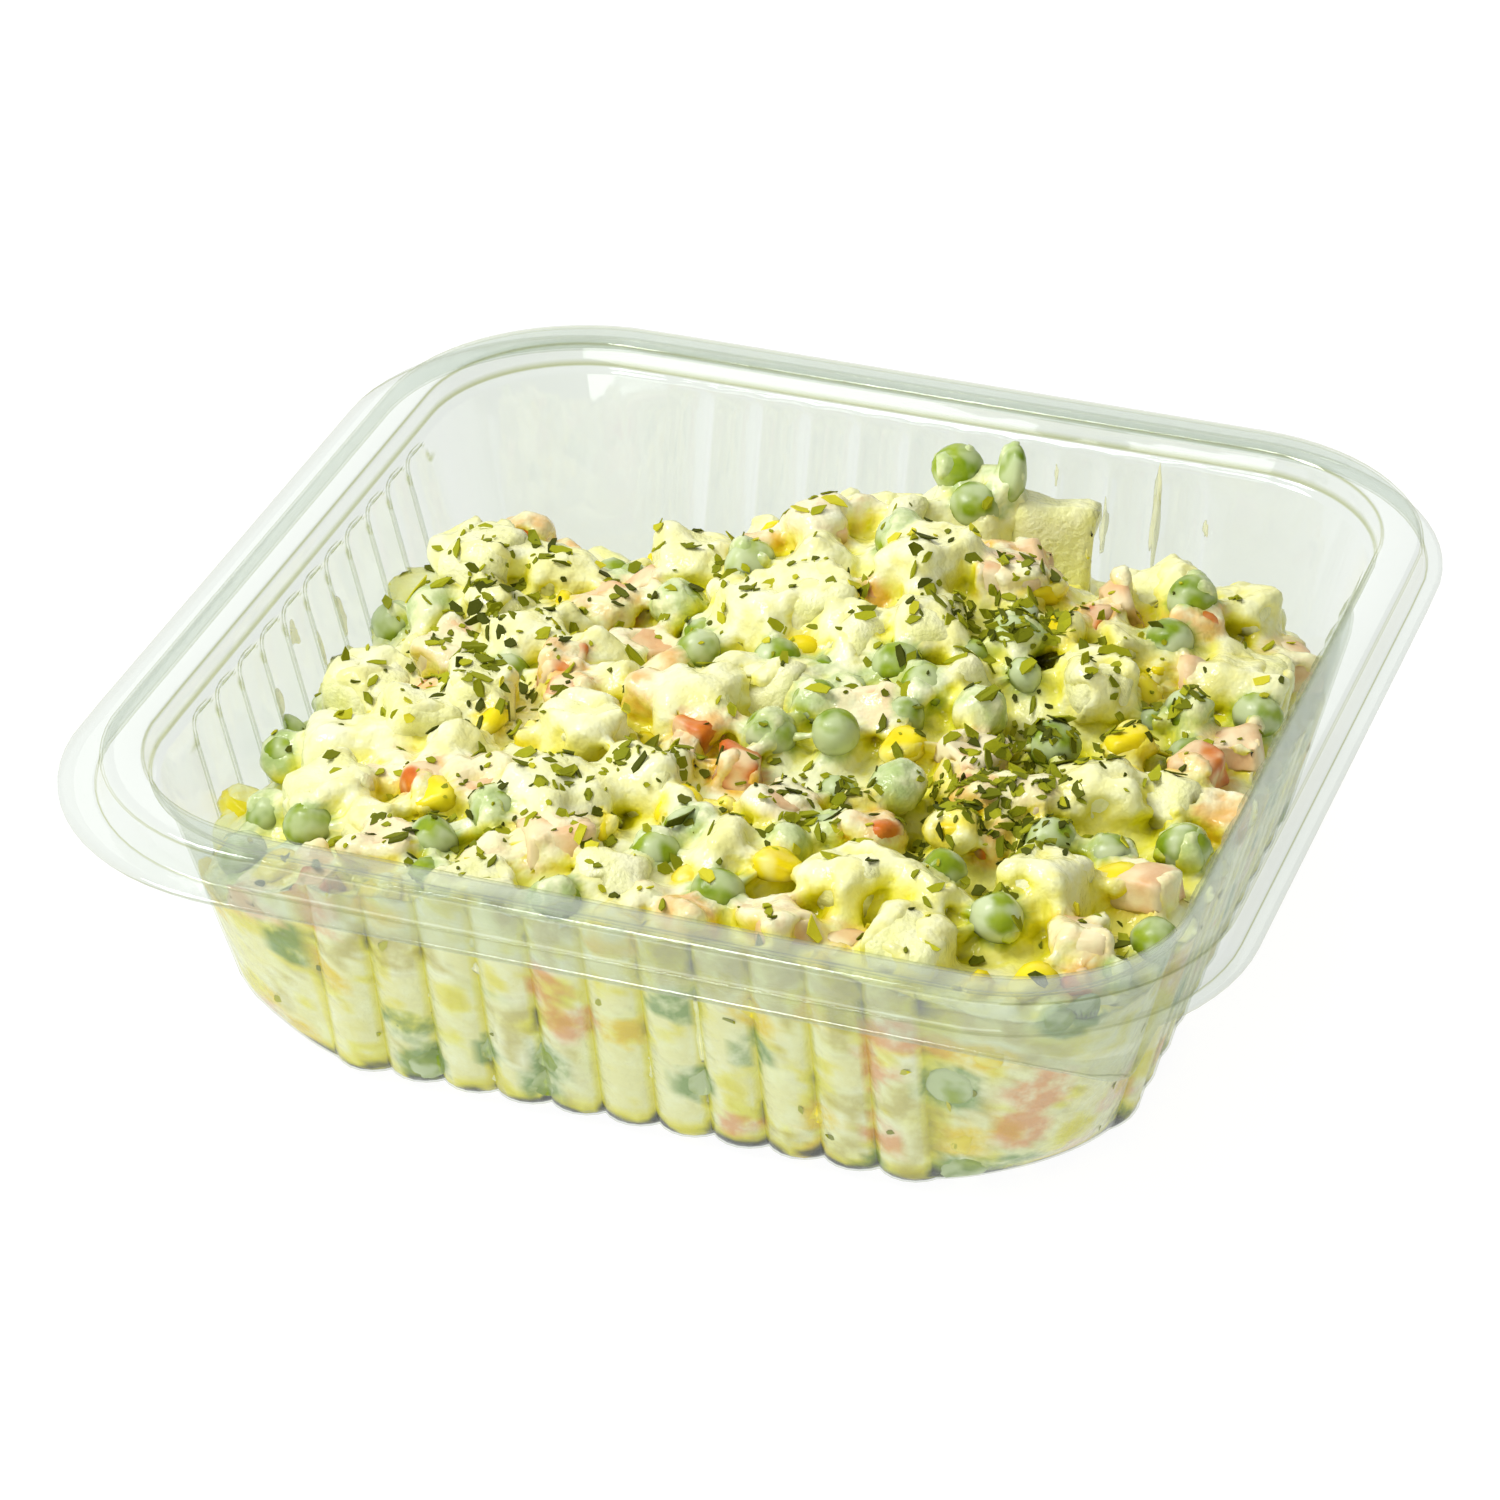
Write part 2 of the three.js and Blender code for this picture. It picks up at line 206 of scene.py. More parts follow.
def foodSurface(tree, coords, looks):
    # a food's own colour with patches of a second one, a film of dressing, and a darker painted shade in the
    # crevices
    grain, wiped = (
        add(tree, "TexNoise", {"Vector": coords, "Scale": 1000 / size, "Detail": detail, "Roughness": 0.55})
        for size, detail in ((looks["grain"], 4.0), (looks["filmSize"], 1.5)))
    own = add(tree, "ValToRGB", {"Fac": grain}, stops=[(0.35, looks["base"]), (0.65, looks["patches"])])
    edges = {"From Min": looks["filmFrom"], "From Max": looks["filmTo"]}
    patchy = add(tree, "MapRange", {"Value": wiped, **edges}, **eased)
    coated = add(tree, "Attribute", {}, "Fac", attribute_name="coated")
    film = add(tree, "Math", {0: patchy, 1: coated}, operation="MULTIPLY")
    skin = add(tree, "Mix", {"Factor": film, 6: own, 7: looks["coat"]}, 2, data_type="RGBA")
    # painted shade: a darker colour where other pieces and dressing stand over the surface
    painted_shade = add(tree, "Attribute", {}, "Fac", attribute_name="painted_shade")
    edges = {"From Min": looks["deepFrom"], "From Max": looks["deepTo"]}
    crevice = add(tree, "MapRange", {"Value": painted_shade, **edges}, **eased)
    deep = add(tree, "Mix", {"Factor": crevice, 6: skin, 7: looks["deep"]}, 2, data_type="RGBA")
    gloss = {"Roughness": looks["roughness"], "IOR": 1.42, "Specular IOR Level": looks["wet"]}
    return reliefed(tree, coords, deep, looks["bumpSize"], 4.0, 0.55, looks["bump"], looks["bumpDeep"], gloss)


def dressing(tree, coords):
    # mayonnaise is an opaque, glossy cream emulsion: it scatters light, and painted shade darkens it to
    # yellow, olive and nearly black in crevices
    cloud, worn = (
        add(tree, "TexNoise", {"Vector": coords, "Scale": 1000 / size, "Detail": 3.0, "Roughness": 0.55})
        for size in (9, 4))
    cream = add(tree, "ValToRGB", {"Fac": cloud}, stops=[(0.3, "#f2f4b8"), (0.7, "#f9fad8")])
    thin = add(tree, "MapRange", {"Value": worn, "From Min": 0.2, "From Max": 0.65}, **eased)
    under = add(tree, "Attribute", {}, "Fac", attribute_name="thin")
    share = add(tree, "Math", {0: thin, 1: under}, operation="MULTIPLY", use_clamp=True)
    tint = add(tree, "Attribute", {}, "Color", attribute_name="tint")
    tinted = add(tree, "Mix", {"Factor": share, 6: cream, 7: tint}, 2, data_type="RGBA")
    # painted shade: the colour is multiplied down in crevices, in the heap's gaps and where the dressing
    # presses on the wall
    painted_shade = add(tree, "Attribute", {}, "Fac", attribute_name="painted_shade")
    shadeStops = [(0.08, "#ffffff"), (0.24, "#fbf6a0"), (0.39, "#efe83e"), (0.53, "#c6c00a"),
              (0.69, "#6e6c02"), (0.88, "#1c2004")]
    deep = add(tree, "ValToRGB", {"Fac": painted_shade}, stops=shadeStops)
    colour = add(tree, "Mix", {0: 1.0, 6: tinted, 7: deep}, 2, data_type="RGBA", blend_type="MULTIPLY")
    gloss = {"Roughness": 0.17, "IOR": 1.46, "Specular IOR Level": 0.4}
    return reliefed(tree, coords, colour, 2.8, 3.0, 0.5, 0.7, 1.0, gloss)


def driedHerb(tree, coords):
    # dried parsley: thin, dull leaf flakes, from nearly black green to straw
    shade = add(tree, "Attribute", {}, "Fac", attribute_name="shade")
    greens = [(0.05, "#444a04"), (0.3, "#7c820c"), (0.62, "#a8aa18"), (0.95, "#d2ca30")]
    colour = add(tree, "ValToRGB", {"Fac": shade}, stops=greens)
    dull = {"Roughness": 0.7, "Specular IOR Level": 0.15}
    return reliefed(tree, coords, colour, 0.6, 3.0, 0.55, 0.5, 0.2, dull)


def smearFilm(tree, coords):
    # dressing wiped thin on the clear wall: cream, and half see-through
    body = add(tree, "BsdfPrincipled", {"Base Color": "#f6f2b0", "Roughness": 0.35})
    through = add(tree, "BsdfTransparent", {"Color": "#ffffff"})
    return add(tree, "MixShader", {0: 0.35, 1: through, 2: body})


flesh = {
    # the deep colour given to a food is the painted shade in its crevices
    # boiled potato is pale yellow, with a fine, wet grain where it is bare
    "potato": food("boiled potato", "#efee9c", "#f4f4b8", "#f8f7cc", filmFrom=0.4, filmTo=0.7,
                   bumpSize=1.4, bump=0.7, bumpDeep=0.8, roughness=0.24, wet=0.45),
    # boiled carrot is soft orange, with a pale film of dressing over most of it
    "carrot": food("boiled carrot", "#c85e0c", "#dc842c", "#f2deac",
                   filmFrom=0.38, filmTo=0.58, deep="#8a4a08"),
    # cooked ham is pale pink, and paler still under the dressing
    "ham": food("cooked ham", "#dfb07c", "#eacb98", "#f3e9bc",
                filmFrom=0.4, filmTo=0.66, deep="#a08430"),
    # a boiled pea has a taut skin, bright green where it is bare and milky where it is coated
    "pea": food("boiled green pea", "#74900c", "#98ac24", "#c8d4a6", filmSize=4.4, filmFrom=0.36,
                filmTo=0.6, deep="#34430a", roughness=0.25, bump=0.15),
    # tinned sweetcorn has a smooth, wet, deep yellow skin
    "corn": food("tinned sweetcorn", "#e8d004", "#f3e226", "#f4ee96",
                 filmFrom=0.5, filmTo=0.75, deep="#a89404", roughness=0.24, bump=0.1),
}
petSheet = newMaterial("thermoformed clear PET", clearTray)
mayonnaise = newMaterial("mayonnaise dressing", dressing)
wipedFilm = newMaterial("wiped film of mayonnaise dressing", smearFilm)
parsley = newMaterial("dried parsley", driedHerb)
print("materials ready")

# the bowl: straight walls with upright flutes, plain corners and a rounded foot
tray = {
    "height": 48.5, "sheet": 0.4,
    "footHalf": 69.4,  # where the straight line of the wall meets the table
    "slope": 0.2428, "footCorner": 21.4, "topCorner": 26.0,
    "cornerFull": 40.0,  # from here up the corners keep their top radius
    "edgeRound": 3.0,
    "fluteFull": 38.0,  # the flutes arch over between these two heights
    "fluteTop": 43.4, "flutes": 11, "pitch": 8.73, "depth": 2.1,
    "across": (0.0, 0.03, 0.13, 0.3, 0.5, 0.7, 0.87, 0.97),  # where the points of one flute lie
    "cornerSteps": 16,
    "cornerBow": 0.25,  # under 1 the foot's corners are flattened
    "bowHeights": (-3.0, 9.0),  # they grow round between these heights
    "floorRings": (0.3, 0.7, 0.94),  # as shares of the foot
    "wallHeights": (0.0, 0.12, 0.45, 1.0, 1.9, 3.0, 5.0, 7.0, 9.0, 14.0, 20.0, 26.0, 32.0, 36.0,
                    38.0, 39.4, 40.6, 41.6, 42.3, 42.8, 43.2, 43.39),
}
span = tray["flutes"] * tray["pitch"]
sideSteps = tray["flutes"] * len(tray["across"])


def wallAt(z, gap=0.0):  # half width, corner radius, share of the flutes and bow of the corners
    bend = tray["edgeRound"]
    rise = np.clip(z / tray["cornerFull"], 0.0, 1.0)
    line = tray["footHalf"] + tray["slope"] * z
    below = np.maximum(bend - z, 0.0)
    rounded = line - bend + np.sqrt(np.maximum((bend - gap) ** 2 - below ** 2, 0.0))
    half = np.where(z < bend, rounded, line - gap)
    radius = tray["footCorner"] + (tray["topCorner"] - tray["footCorner"]) * rise - (line - half)
    arch = np.clip((z - tray["fluteFull"]) / (tray["fluteTop"] - tray["fluteFull"]), 0.0, 1.0)
    bow = tray["cornerBow"] + (1 - tray["cornerBow"]) * smoothStep(*tray["bowHeights"], z)
    return half, radius, np.sqrt(1 - arch * arch), bow


def fluteOut(along):  # how far a flute stands out at a place along its side
    bulge = (tray["pitch"] ** 2 / 4 + tray["depth"] ** 2) / (2 * tray["depth"])
    count = along / tray["pitch"] + tray["flutes"] / 2
    across = (count - np.floor(count + 1e-9) - 0.5) * tray["pitch"]
    out = np.maximum(np.sqrt(bulge ** 2 - across ** 2) - (bulge - tray["depth"]), 0.0)
    return np.where(np.abs(along) < span / 2, out, 0.0)


def arched(out, share):  # a flute's depth near its top, where it ends in an arch
    return np.maximum(out - tray["depth"] * (1 - share), 0.0)


def loopPoints(halfX, halfY, radius, z, share=0.0, bow=1.0, shift=0.0):  # once round the tray
    points = []
    for side in range(4):
        turn = Matrix.Rotation(side * pi / 2, 3, "Z")
        reach, other = (halfX, halfY) if side % 2 == 0 else (halfY, halfX)
        for i in range(sideSteps + 1):
            number, place = divmod(i, len(tray["across"]))
            along = (number + tray["across"][place]) * tray["pitch"] - span / 2
            out = reach + (float(arched(fluteOut(along), share)) if place else 0.0)
            points.append(turn @ Vector((out, along, z)))
        for i in range(1, tray["cornerSteps"] + 1):
            angle = (pi / 2) * i / tray["cornerSteps"]
            sag = radius * (cos(angle - pi / 4) - sqrt(0.5))
            pull = (1 - bow) * sag * sqrt(0.5)
            x = reach - radius + radius * cos(angle) - pull
            y = other - radius + radius * sin(angle) - pull
            points.append(turn @ Vector((x, y, z)))
    return [p + Vector((shift, 0, 0)) for p in points]


def square(half, radius, z):
    return loopPoints(half, half, radius, z)


def bowlLoop(z, gap=0.0):
    half, radius, share, bow = (float(n) for n in wallAt(z, gap))
    return loopPoints(half, half, radius, z, share, bow)


def loft(bm, loops, creases=None):  # a ring of edges extruded from loop to loop, its points in order
    layer = bm.verts.layers.float.new("crease") if creases else None
    verts = [bm.verts.new(p) for p in loops[0]]
    count = len(verts)
    edges = [bm.edges.new((verts[i], verts[(i + 1) % count])) for i in range(count)]
    for points in loops[1:]:
        made = bmesh.ops.extrude_edge_only(bm, edges=edges)
        grown = [e for e in made["geom"] if isinstance(e, bmesh.types.BMEdge)]
        top = dict(pairUp(verts, grown))
        verts = [top[v] for v in verts]
        for i, (v, p) in enumerate(zip(verts, points)):
            v.co = p
            if creases:
                v[layer] = creases(p, i)
        edges = [bm.edges.get((verts[i], verts[(i + 1) % count])) for i in range(count)]


def pairUp(verts, grown):  # each old point with the new one that was extruded from it
    fresh = {v for e in grown for v in e.verts}
    for v in verts:
        for e in v.link_edges:
            other = e.other_vert(v)
            if other in fresh and (other.co - v.co).length < 1e-6:
                yield v, other
                break


def clampToBowl(points, gap):  # points that would reach past the bowl's inside come back to it
    x, y, z = points[:, 0], points[:, 1], np.maximum(points[:, 2], gap)
    half, radius, share, bow = wallAt(z, gap)
    ax, ay = np.abs(x), np.abs(y)
    overX, overY = ax - (half - radius), ay - (half - radius)
    flute = arched(np.where(ax > ay, fluteOut(y), fluteOut(x)), share)
    far = np.hypot(np.maximum(overX, 0), np.maximum(overY, 0))
    away = far + np.minimum(np.maximum(overX, overY), 0) - radius - flute
    angle = np.arctan2(np.maximum(overY, 0), np.maximum(overX, 0))
    sag = radius * (np.cos(angle - pi / 4) - sqrt(0.5))
    corner = (overX > 0) & (overY > 0)
    away = away + np.where(corner, (1 - bow) * sag, 0.0)
    wayX = np.where(corner, overX / np.maximum(far, 1e-9), (overX >= overY).astype(float))
    wayY = np.where(corner, overY / np.maximum(far, 1e-9), (overX < overY).astype(float))
    back = np.maximum(away, 0)
    return np.column_stack((x - np.sign(x) * wayX * back, y - np.sign(y) * wayY * back, z))


# the rim: a flat ring over the bowl, a step down and the flange with its peel tab
rim = {
    "innerHalf": 82.0,
    "profile": [  # half width, corner radius, height, and 1 where the sheet is bent sharply
        (80.7, 26.5, 43.7, 0),
        (81.3, 26.9, 44.3, 1),
        (81.65, 26.9, 47.0, 0),
        (82.0, 26.9, 47.8, 1),
        (82.6, 27.5, 48.1, 0),
        (87.5, 33.3, 48.1, 0),
        (87.95, 33.8, 47.98, 0),
        (88.28, 34.1, 47.6, 1),
        (88.35, 34.3, 47.1, 0),
        (88.75, 34.3, 43.7, 0),
        (88.9, 34.3, 43.05, 0),
        (89.3, 34.7, 42.75, 1),
        (89.9, 35.3, 42.7, 0),
    ],
    "flangeX": 93.75, "flangeY": 94.0, "flangeRadius": 40.0, "flangeHeight": 42.7, "tabRight": 83.7,
    "tabRadius": 4.0,
    "tabRun": 26.0,  # the straight edge that leads to the tab
    "tabSteps": 4,
    "archCrease": (0.1, 0.5),  # how wide the line round a flute's arch is
    "backCrease": 0.55,  # the arches of the back wall show less
}


def flangePoints(z):
    points = loopPoints(rim["flangeX"], rim["flangeY"], rim["flangeRadius"], z, shift=-bowlShift)
    last = 3 * (sideSteps + 1 + tray["cornerSteps"]) + sideSteps  # the end of the front side
    right, radius, front, steps = rim["tabRight"], rim["tabRadius"], -rim["flangeY"], rim["tabSteps"]
    centreX = rim["flangeX"] - bowlShift - rim["flangeRadius"]
    centreY = front + rim["flangeRadius"]
    joint = asin((right - centreX) / rim["flangeRadius"])
    path = []
    for i in range(1, steps):
        path.append(Vector((right - radius - rim["tabRun"] * (1 - i / steps), front, z)))
    for i in range(steps + 1):
        angle = -pi / 2 + pi / 2 * i / steps
        x = right - radius + radius * cos(angle)
        path.append(Vector((x, front + radius + radius * sin(angle), z)))
    rest = tray["cornerSteps"] - len(path)
    for i in range(rest):
        angle = joint + (pi / 2 - joint) * i / (rest - 1)
        x = centreX + rim["flangeRadius"] * sin(angle)
        path.append(Vector((x, centreY - rim["flangeRadius"] * cos(angle), z)))
    for i, p in enumerate(path):
        points[(last + 1 + i) % len(points)] = p
    return points


def creaseAt(p, number):  # where the sheet is bent sharply, a fine olive line is painted into its see-through colour
    onSide = number % (sideSteps + 1 + tray["cornerSteps"]) <= sideSteps
    inside = max(abs(p.x), abs(p.y)) < rim["innerHalf"]
    if inside and onSide and tray["fluteFull"] < p.z < tray["fluteTop"]:
        along = p.y if abs(p.x) > abs(p.y) else p.x
        edge = abs(float(fluteOut(along) - tray["depth"] * (1 - wallAt(p.z)[2])))
        strength = rim["backCrease"] if p.y > tray["footHalf"] else 1.0
        return strength * (1 - float(smoothStep(*rim["archCrease"], edge)))
    return float(round(p.z, 2) in {z for _, _, z, bent in rim["profile"] if bent})


def buildTray():  # one sheet: floor, fluted wall, ring, step and flange
    floorLoops = [[p * k for p in bowlLoop(0.0)] for k in tray["floorRings"]]
    loops = floorLoops + [bowlLoop(z) for z in tray["wallHeights"]]
    loops += [square(half, radius, z) for half, radius, z, _ in rim["profile"]]
    edge = flangePoints(rim["flangeHeight"])
    loops += [[a.lerp(b, 0.5) for a, b in zip(loops[-1], edge)], edge]
    bm = bmesh.new()
    loft(bm, loops, creaseAt)
    bm.verts.ensure_lookup_table()
    bm.faces.new(bm.verts[:len(loops[0])])
    bmesh.ops.recalc_face_normals(bm, faces=bm.faces)
    bm.faces.ensure_lookup_table()
    if bm.faces[-1].normal.z > 0:
        bmesh.ops.reverse_faces(bm, faces=bm.faces)
    thicken = {"thickness": tray["sheet"], "offset": -1.0, "use_even_offset": True,
               "use_quality_normals": True}
    mesh = evaluated(bm, [("SOLIDIFY", thicken)])
    outer, inner = np.split(coordinates(mesh), 2)
    astray = np.linalg.norm(inner - outer, axis=1) > 3 * tray["sheet"]
    inner[astray] = outer[astray] + (0, 0, tray["sheet"])
    inner[:, 2] = np.maximum(inner[:, 2], tray["sheet"])
    print("points put back into the sheet", int(astray.sum()))
    mesh.vertices.foreach_set("co", np.concatenate((outer, inner)).ravel())
    return mesh


trayMesh = buildTray()
shell = placed("clear_tray", trayMesh, petSheet)
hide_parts("tray")
print("tray", len(trayMesh.polygons), "faces")

# the heap is a crown that falls off towards the sides, with low mounds and a few deep gaps
heap = {
    "crown": -0.5,  # against the tray's height
    "least": 6.0,
    "falls": [  # axis, start, drop and reach
        (0, -78, 20.3, 22.9), (1, 78, 43.3, 37.8), (0, 78, 4.6, 37.0), (1, -76, 6.3, 45.0),
    ],
    "mounds": [  # x, y, rise and spread
        (-60, 27, 12, 11), (-26, 8, -5.7, 6), (32, 31, 12, 24), (-2, 39, 12, 19), (16, 49, 5, 6.5),
        (58, 43, 12, 7.4),
    ],
}
pits = [  # x, y, depth and spread
    (38, -8, 9, 2.4), (48, -4, 8, 2.2), (49, -20, 9, 2.8), (46, -44, 9, 2.8), (43, -50, 9, 2.4),
    (32, -36, 8, 2.4), (35, 12, 6, 2.4), (-18, -37, 6, 2.2), (-8, -43, 6, 2.2), (15, -35, 5, 2.2),
]


def bell(x, y, middleX, middleY, spread):
    return exp(-((x - middleX) ** 2 + (y - middleY) ** 2) / (2 * spread ** 2))


def heapTop(x, y):
    height = tray["height"] + heap["crown"]
    for axis, start, drop, reach in heap["falls"]:
        height -= drop * exp(-abs((x, y)[axis] - start) / reach)
    for middleX, middleY, rise, spread in heap["mounds"]:
        height += rise * bell(x, y, middleX, middleY, spread)
    return max(height, heap["least"])


kinds = {  # ranges of size, how far they stand out, their share, how bare and how rounded they are
    name: {"size": size, "proud": proud, "share": share, "bare": bare, "round": rounded}
    for name, size, proud, share, bare, rounded in (
        ("potato", [(11, 15), (10, 13), (9, 12)], -0.07, 0.36, 0.12, 0.5),
        ("slab", [(14, 15), (7, 8), (17, 18)], 0.1, 0.0, 1.0, 0.3),
        ("carrot", [(7, 9), (6.5, 8), (6, 7.5)], -0.05, 0.1, 0.14, 0.45),
        ("ham", [(9, 12), (8, 10), (5, 7)], -0.05, 0.13, 0.12, 0.34),
        ("pea", [(7.4, 8.8), (7.4, 8.8), (7.2, 8.4)], 0.03, 0.24, 0.3, 1),
        ("corn", [(8, 9.5), (6.5, 8), (4.5, 5.5)], 0.0, 0.17, 0.3, 1),
    )
}
standing = {"turn": [-0.3, 0.06, 0.34]}
wrinkled = {"scale": [0.6, 1, 1.35], "turn": [0, 0.1, 0.34], "bare": 0.33}
plump = {"scale": [1.05, 1.05, 1], "bare": 0.38}
standouts = {  # x, y and lift of the pieces that stand out in the photo
    "potato": [
        (-58, 20, -1), (-46, 23, -2), (15, 50, -1), (6, 47, -2), (50, 40, -3), (63, 42, -3), (-64, -15, 1),
        (-43, -20, 2), (-22, -29, 1), (-19, -48, 1), (30, -56, 1), (43, -68, 0), (49, 6, 1),
        (57, -47, 1), (-6, 8, 1), (2, 12, 1), (68, 25, 1), (-56, -50, 1), (-49, -28, 1), (-9, -40, 0),
        (17, 23, 1), (-8, -17, 0), (21, 9, 0), (57, -20, 0), (-42, 0, 0), (-60, -34, 0),
    ],
    "slab": [(29, 49, 1.5, standing)],
    "pea": [
        (13, 50, 9, plump), (17.5, 45, 2.2, plump), (22.5, 49, 12, wrinkled),
        (16, -21, 2), (29, -31, 1), (0, -2, 0), (-14, 0, 0),
        (-13, 22, 1), (19, 0, 0), (25, -4, 0), (35, -7, 0), (35, 11, 0), (3, -50, 0), (0, -58, 0),
        (12, -64, 0), (-27, -55, 1), (-34, -62, 0), (-56, -58, 0), (-71, -33, 1), (-63, 10, 1),
        (57, 34, 2), (56, 25, 1), (64, 8, 1), (73, 16, 1), (73, -27, 0), (53, -57, 1), (10, 29, 0),
    ],
    "carrot": [
        (70, -6, 1), (58, 31, 1), (-33, -10, 1), (-15, -17, 1), (-5, -23, 0), (10, -71, 0), (-41, -47, 0),
    ],
    "ham": [
        (-15, -59, 1), (-40, -65, 0), (-4, 31, 1), (-33, -45, 0), (66, -57, 1), (37, -17, 0),
        (-25, 6, 1), (14, -41, 0), (72, 37, 2), (72, 5, 0), (70, -39, 0),
    ],
    "corn": [
        (19, -56, 1), (-38, -52, 1), (40, -38, 1), (58, -5, 1), (66, -40, 0), (-14, 14, 1),
        (-1, -45, 0), (41, 16, 0), (2, 2, 0),
    ],
}
propping = [("potato", 17, 48, 0.5), ("ham", 30, 24.5, 1)]
strewn = {
    "seed": 1931, "count": 66, "tries": 3000, "spacing": 1.32, "edge": 76.6, "back": 34.0,
    "tilt": (-0.25, 0.25),  # radians
    "handCut": (0.82, 1.08),  # how uneven the corners of a cut piece are
}


def newPiece(draw, kind, x, y, lift, own={}):
    scales = own.get("scale", (1, 1, 1))
    size = [draw(*reach) * k for reach, k in zip(kinds[kind]["size"], scales)]
    turn = [draw(*strewn["tilt"]), draw(*strewn["tilt"]), pi * draw()]
    z = heapTop(x, y) + lift + kinds[kind]["proud"] * size[2]
    return {"kind": kind, "at": (x, y, z), "size": size, "reach": (size[0] + size[1]) / 4,
            "turn": own.get("turn", turn), "bare": own.get("bare", kinds[kind]["bare"])}


def placePieces():  # the solid model makes the same draws, so each piece lies where it does there
    draw = draws(strewn["seed"])
    pieces = [newPiece(draw, kind, *place) for kind, places in standouts.items() for place in places]
    total = len(pieces) + strewn["count"]
    for _ in range(strewn["tries"]):
        if len(pieces) >= total:
            break
        x = draw(-strewn["edge"], strewn["edge"])
        y = draw(-strewn["edge"], strewn["back"])
        kind = pickKind(draw(), {name: kinds[name]["share"] for name in kinds})
        reach = (kinds[kind]["size"][0][0] + kinds[kind]["size"][1][0]) / 4
        near = ((hypot(p["at"][0] - x, p["at"][1] - y), p["reach"] + reach) for p in pieces)
        if not any(away < room * strewn["spacing"] for away, room in near):
            pieces.append(newPiece(draw, kind, x, y, 0))
    pieces += [newPiece(draw, *place) for place in propping]
    cut = draws(strewn["seed"] + 1)
    for p in pieces:
        if kinds[p["kind"]]["round"] < 1:
            p["cuts"] = [cut(*strewn["handCut"]) for _ in range(8)]
    return pieces


def pickKind(pick, shares):
    for name, share in shares.items():
        pick -= share
        if pick < 0:
            return name
    return "potato"


crumbs = {  # smaller pieces between the larger ones
    "seed": 58, "count": 130, "tries": 4000, "spacing": 0.9, "x": (-75, 75), "y": (-75, 62),
    "scale": (0.6, 0.95), "sunk": (0.0, 2.2), "tilt": (-1.2, 1.2),
    "open": [(33, 42), (37, 44), (29, 43)],  # the bare potato slab shows here
    "openRoom": 4.0,
    "mix": {"potato": 0.5, "ham": 0.14, "carrot": 0.05, "pea": 0.15, "corn": 0.16},
}
behind = {  # the pieces that show through the wall and the floor
    "rows": (5.0, 14.0, 23.0, 32.0, 41.0), "stray": (-3, 3), "step": 9.8, "stepStray": (0.85, 1.3),
    "inward": (1.5, 3.5),  # how far a piece's middle lies from the wall
    "scale": (0.85, 1.05),
    "deep": (0.6, 1.0),  # how much dressing lies between a piece and the wall
    "ways": (8, 34, 60, 86),  # the degrees round each corner where pieces lie
    "wayStray": (-8, 8),
    "bare": 0.4,  # the share of the peas and corn that show bare
    "below": 5.0,  # how far under the heap's edge they end
    "stuck": ("corn", -74.8, 15.9, 26.9, 0.45),  # a scrap of corn on the wall above the heap
    "floorHalf": 60, "floorStep": 17.0, "floorStray": (-4, 4), "floorHeight": (3.0, 5.0),
    "mix": {"potato": 0.34, "pea": 0.26, "carrot": 0.12, "ham": 0.1, "corn": 0.18},
}


def smallerPieces(larger):
    draw = draws(crumbs["seed"])
    pieces = []

    def lay(kind, x, y, z, scale, deep=0.0, coarse=True):
        size = [draw(*reach) * scale for reach in kinds[kind]["size"]]
        turn = [draw(*crumbs["tilt"]), draw(*crumbs["tilt"]), pi * draw()]
        cuts = [draw(*strewn["handCut"]) for _ in range(8)]
        pieces.append({"kind": kind, "at": (x, y, z), "size": size, "turn": turn, "cuts": cuts,
                       "coarse": coarse, "deep": deep})

    def layAtWall(turn, spot, z):
        x, y = turn @ Vector(spot)
        if z < heapTop(x, y) - behind["below"]:
            kind, deep = pickKind(draw(), behind["mix"]), draw(*behind["deep"])
            if kind in ("pea", "corn") and draw() < behind["bare"]:
                deep = 0.0
            lay(kind, x, y, z, draw(*behind["scale"]), deep, coarse=False)

    taken = [(p["at"][0], p["at"][1], p["reach"]) for p in larger]
    taken += [(x, y, spread) for x, y, _, spread in pits]
    taken += [(*spot, crumbs["openRoom"]) for spot in crumbs["open"]]
    for _ in range(crumbs["tries"]):
        x, y = draw(*crumbs["x"]), draw(*crumbs["y"])
        kind, scale = pickKind(draw(), crumbs["mix"]), draw(*crumbs["scale"])
        reach = kinds[kind]["size"][0][0] * scale / 2
        near = ((hypot(a - x, b - y), r + reach) for a, b, r in taken)
        free = not any(away < room * crumbs["spacing"] for away, room in near)
        if free and len(pieces) < crumbs["count"]:
            lay(kind, x, y, heapTop(x, y) - draw(*crumbs["sunk"]), scale)
            taken.append((x, y, reach))
    for side in range(4):
        turn = Matrix.Rotation(side * pi / 2, 2)
        for row in behind["rows"]:
            along = -span / 2 + draw(0, 6)
            while along < span / 2:
                z, inward = row + draw(*behind["stray"]), draw(*behind["inward"])
                layAtWall(turn, (float(wallAt(z)[0]) - inward, along), z)
                along += behind["step"] * draw(*behind["stepStray"])
            for degrees in behind["ways"]:
                z, inward = row + draw(*behind["stray"]), draw(*behind["inward"])
                half, radius = (float(n) for n in wallAt(z)[:2])
                angle = radians(degrees + draw(*behind["wayStray"]))
                way = Vector((cos(angle), sin(angle)))
                layAtWall(turn, Vector((half - radius, half - radius)) + way * (radius - inward), z)
    lay(*behind["stuck"])
    half = behind["floorHalf"]
    steps = int(2 * half / behind["floorStep"])
    for i in range(steps + 1):
        for j in range(steps + 1):
            x = -half + 2 * half * i / steps + draw(*behind["floorStray"])
            y = -half + 2 * half * j / steps + draw(*behind["floorStray"])
            lay(pickKind(draw(), behind["mix"]), x, y, draw(*behind["floorHeight"]), 1.0)
    return pieces


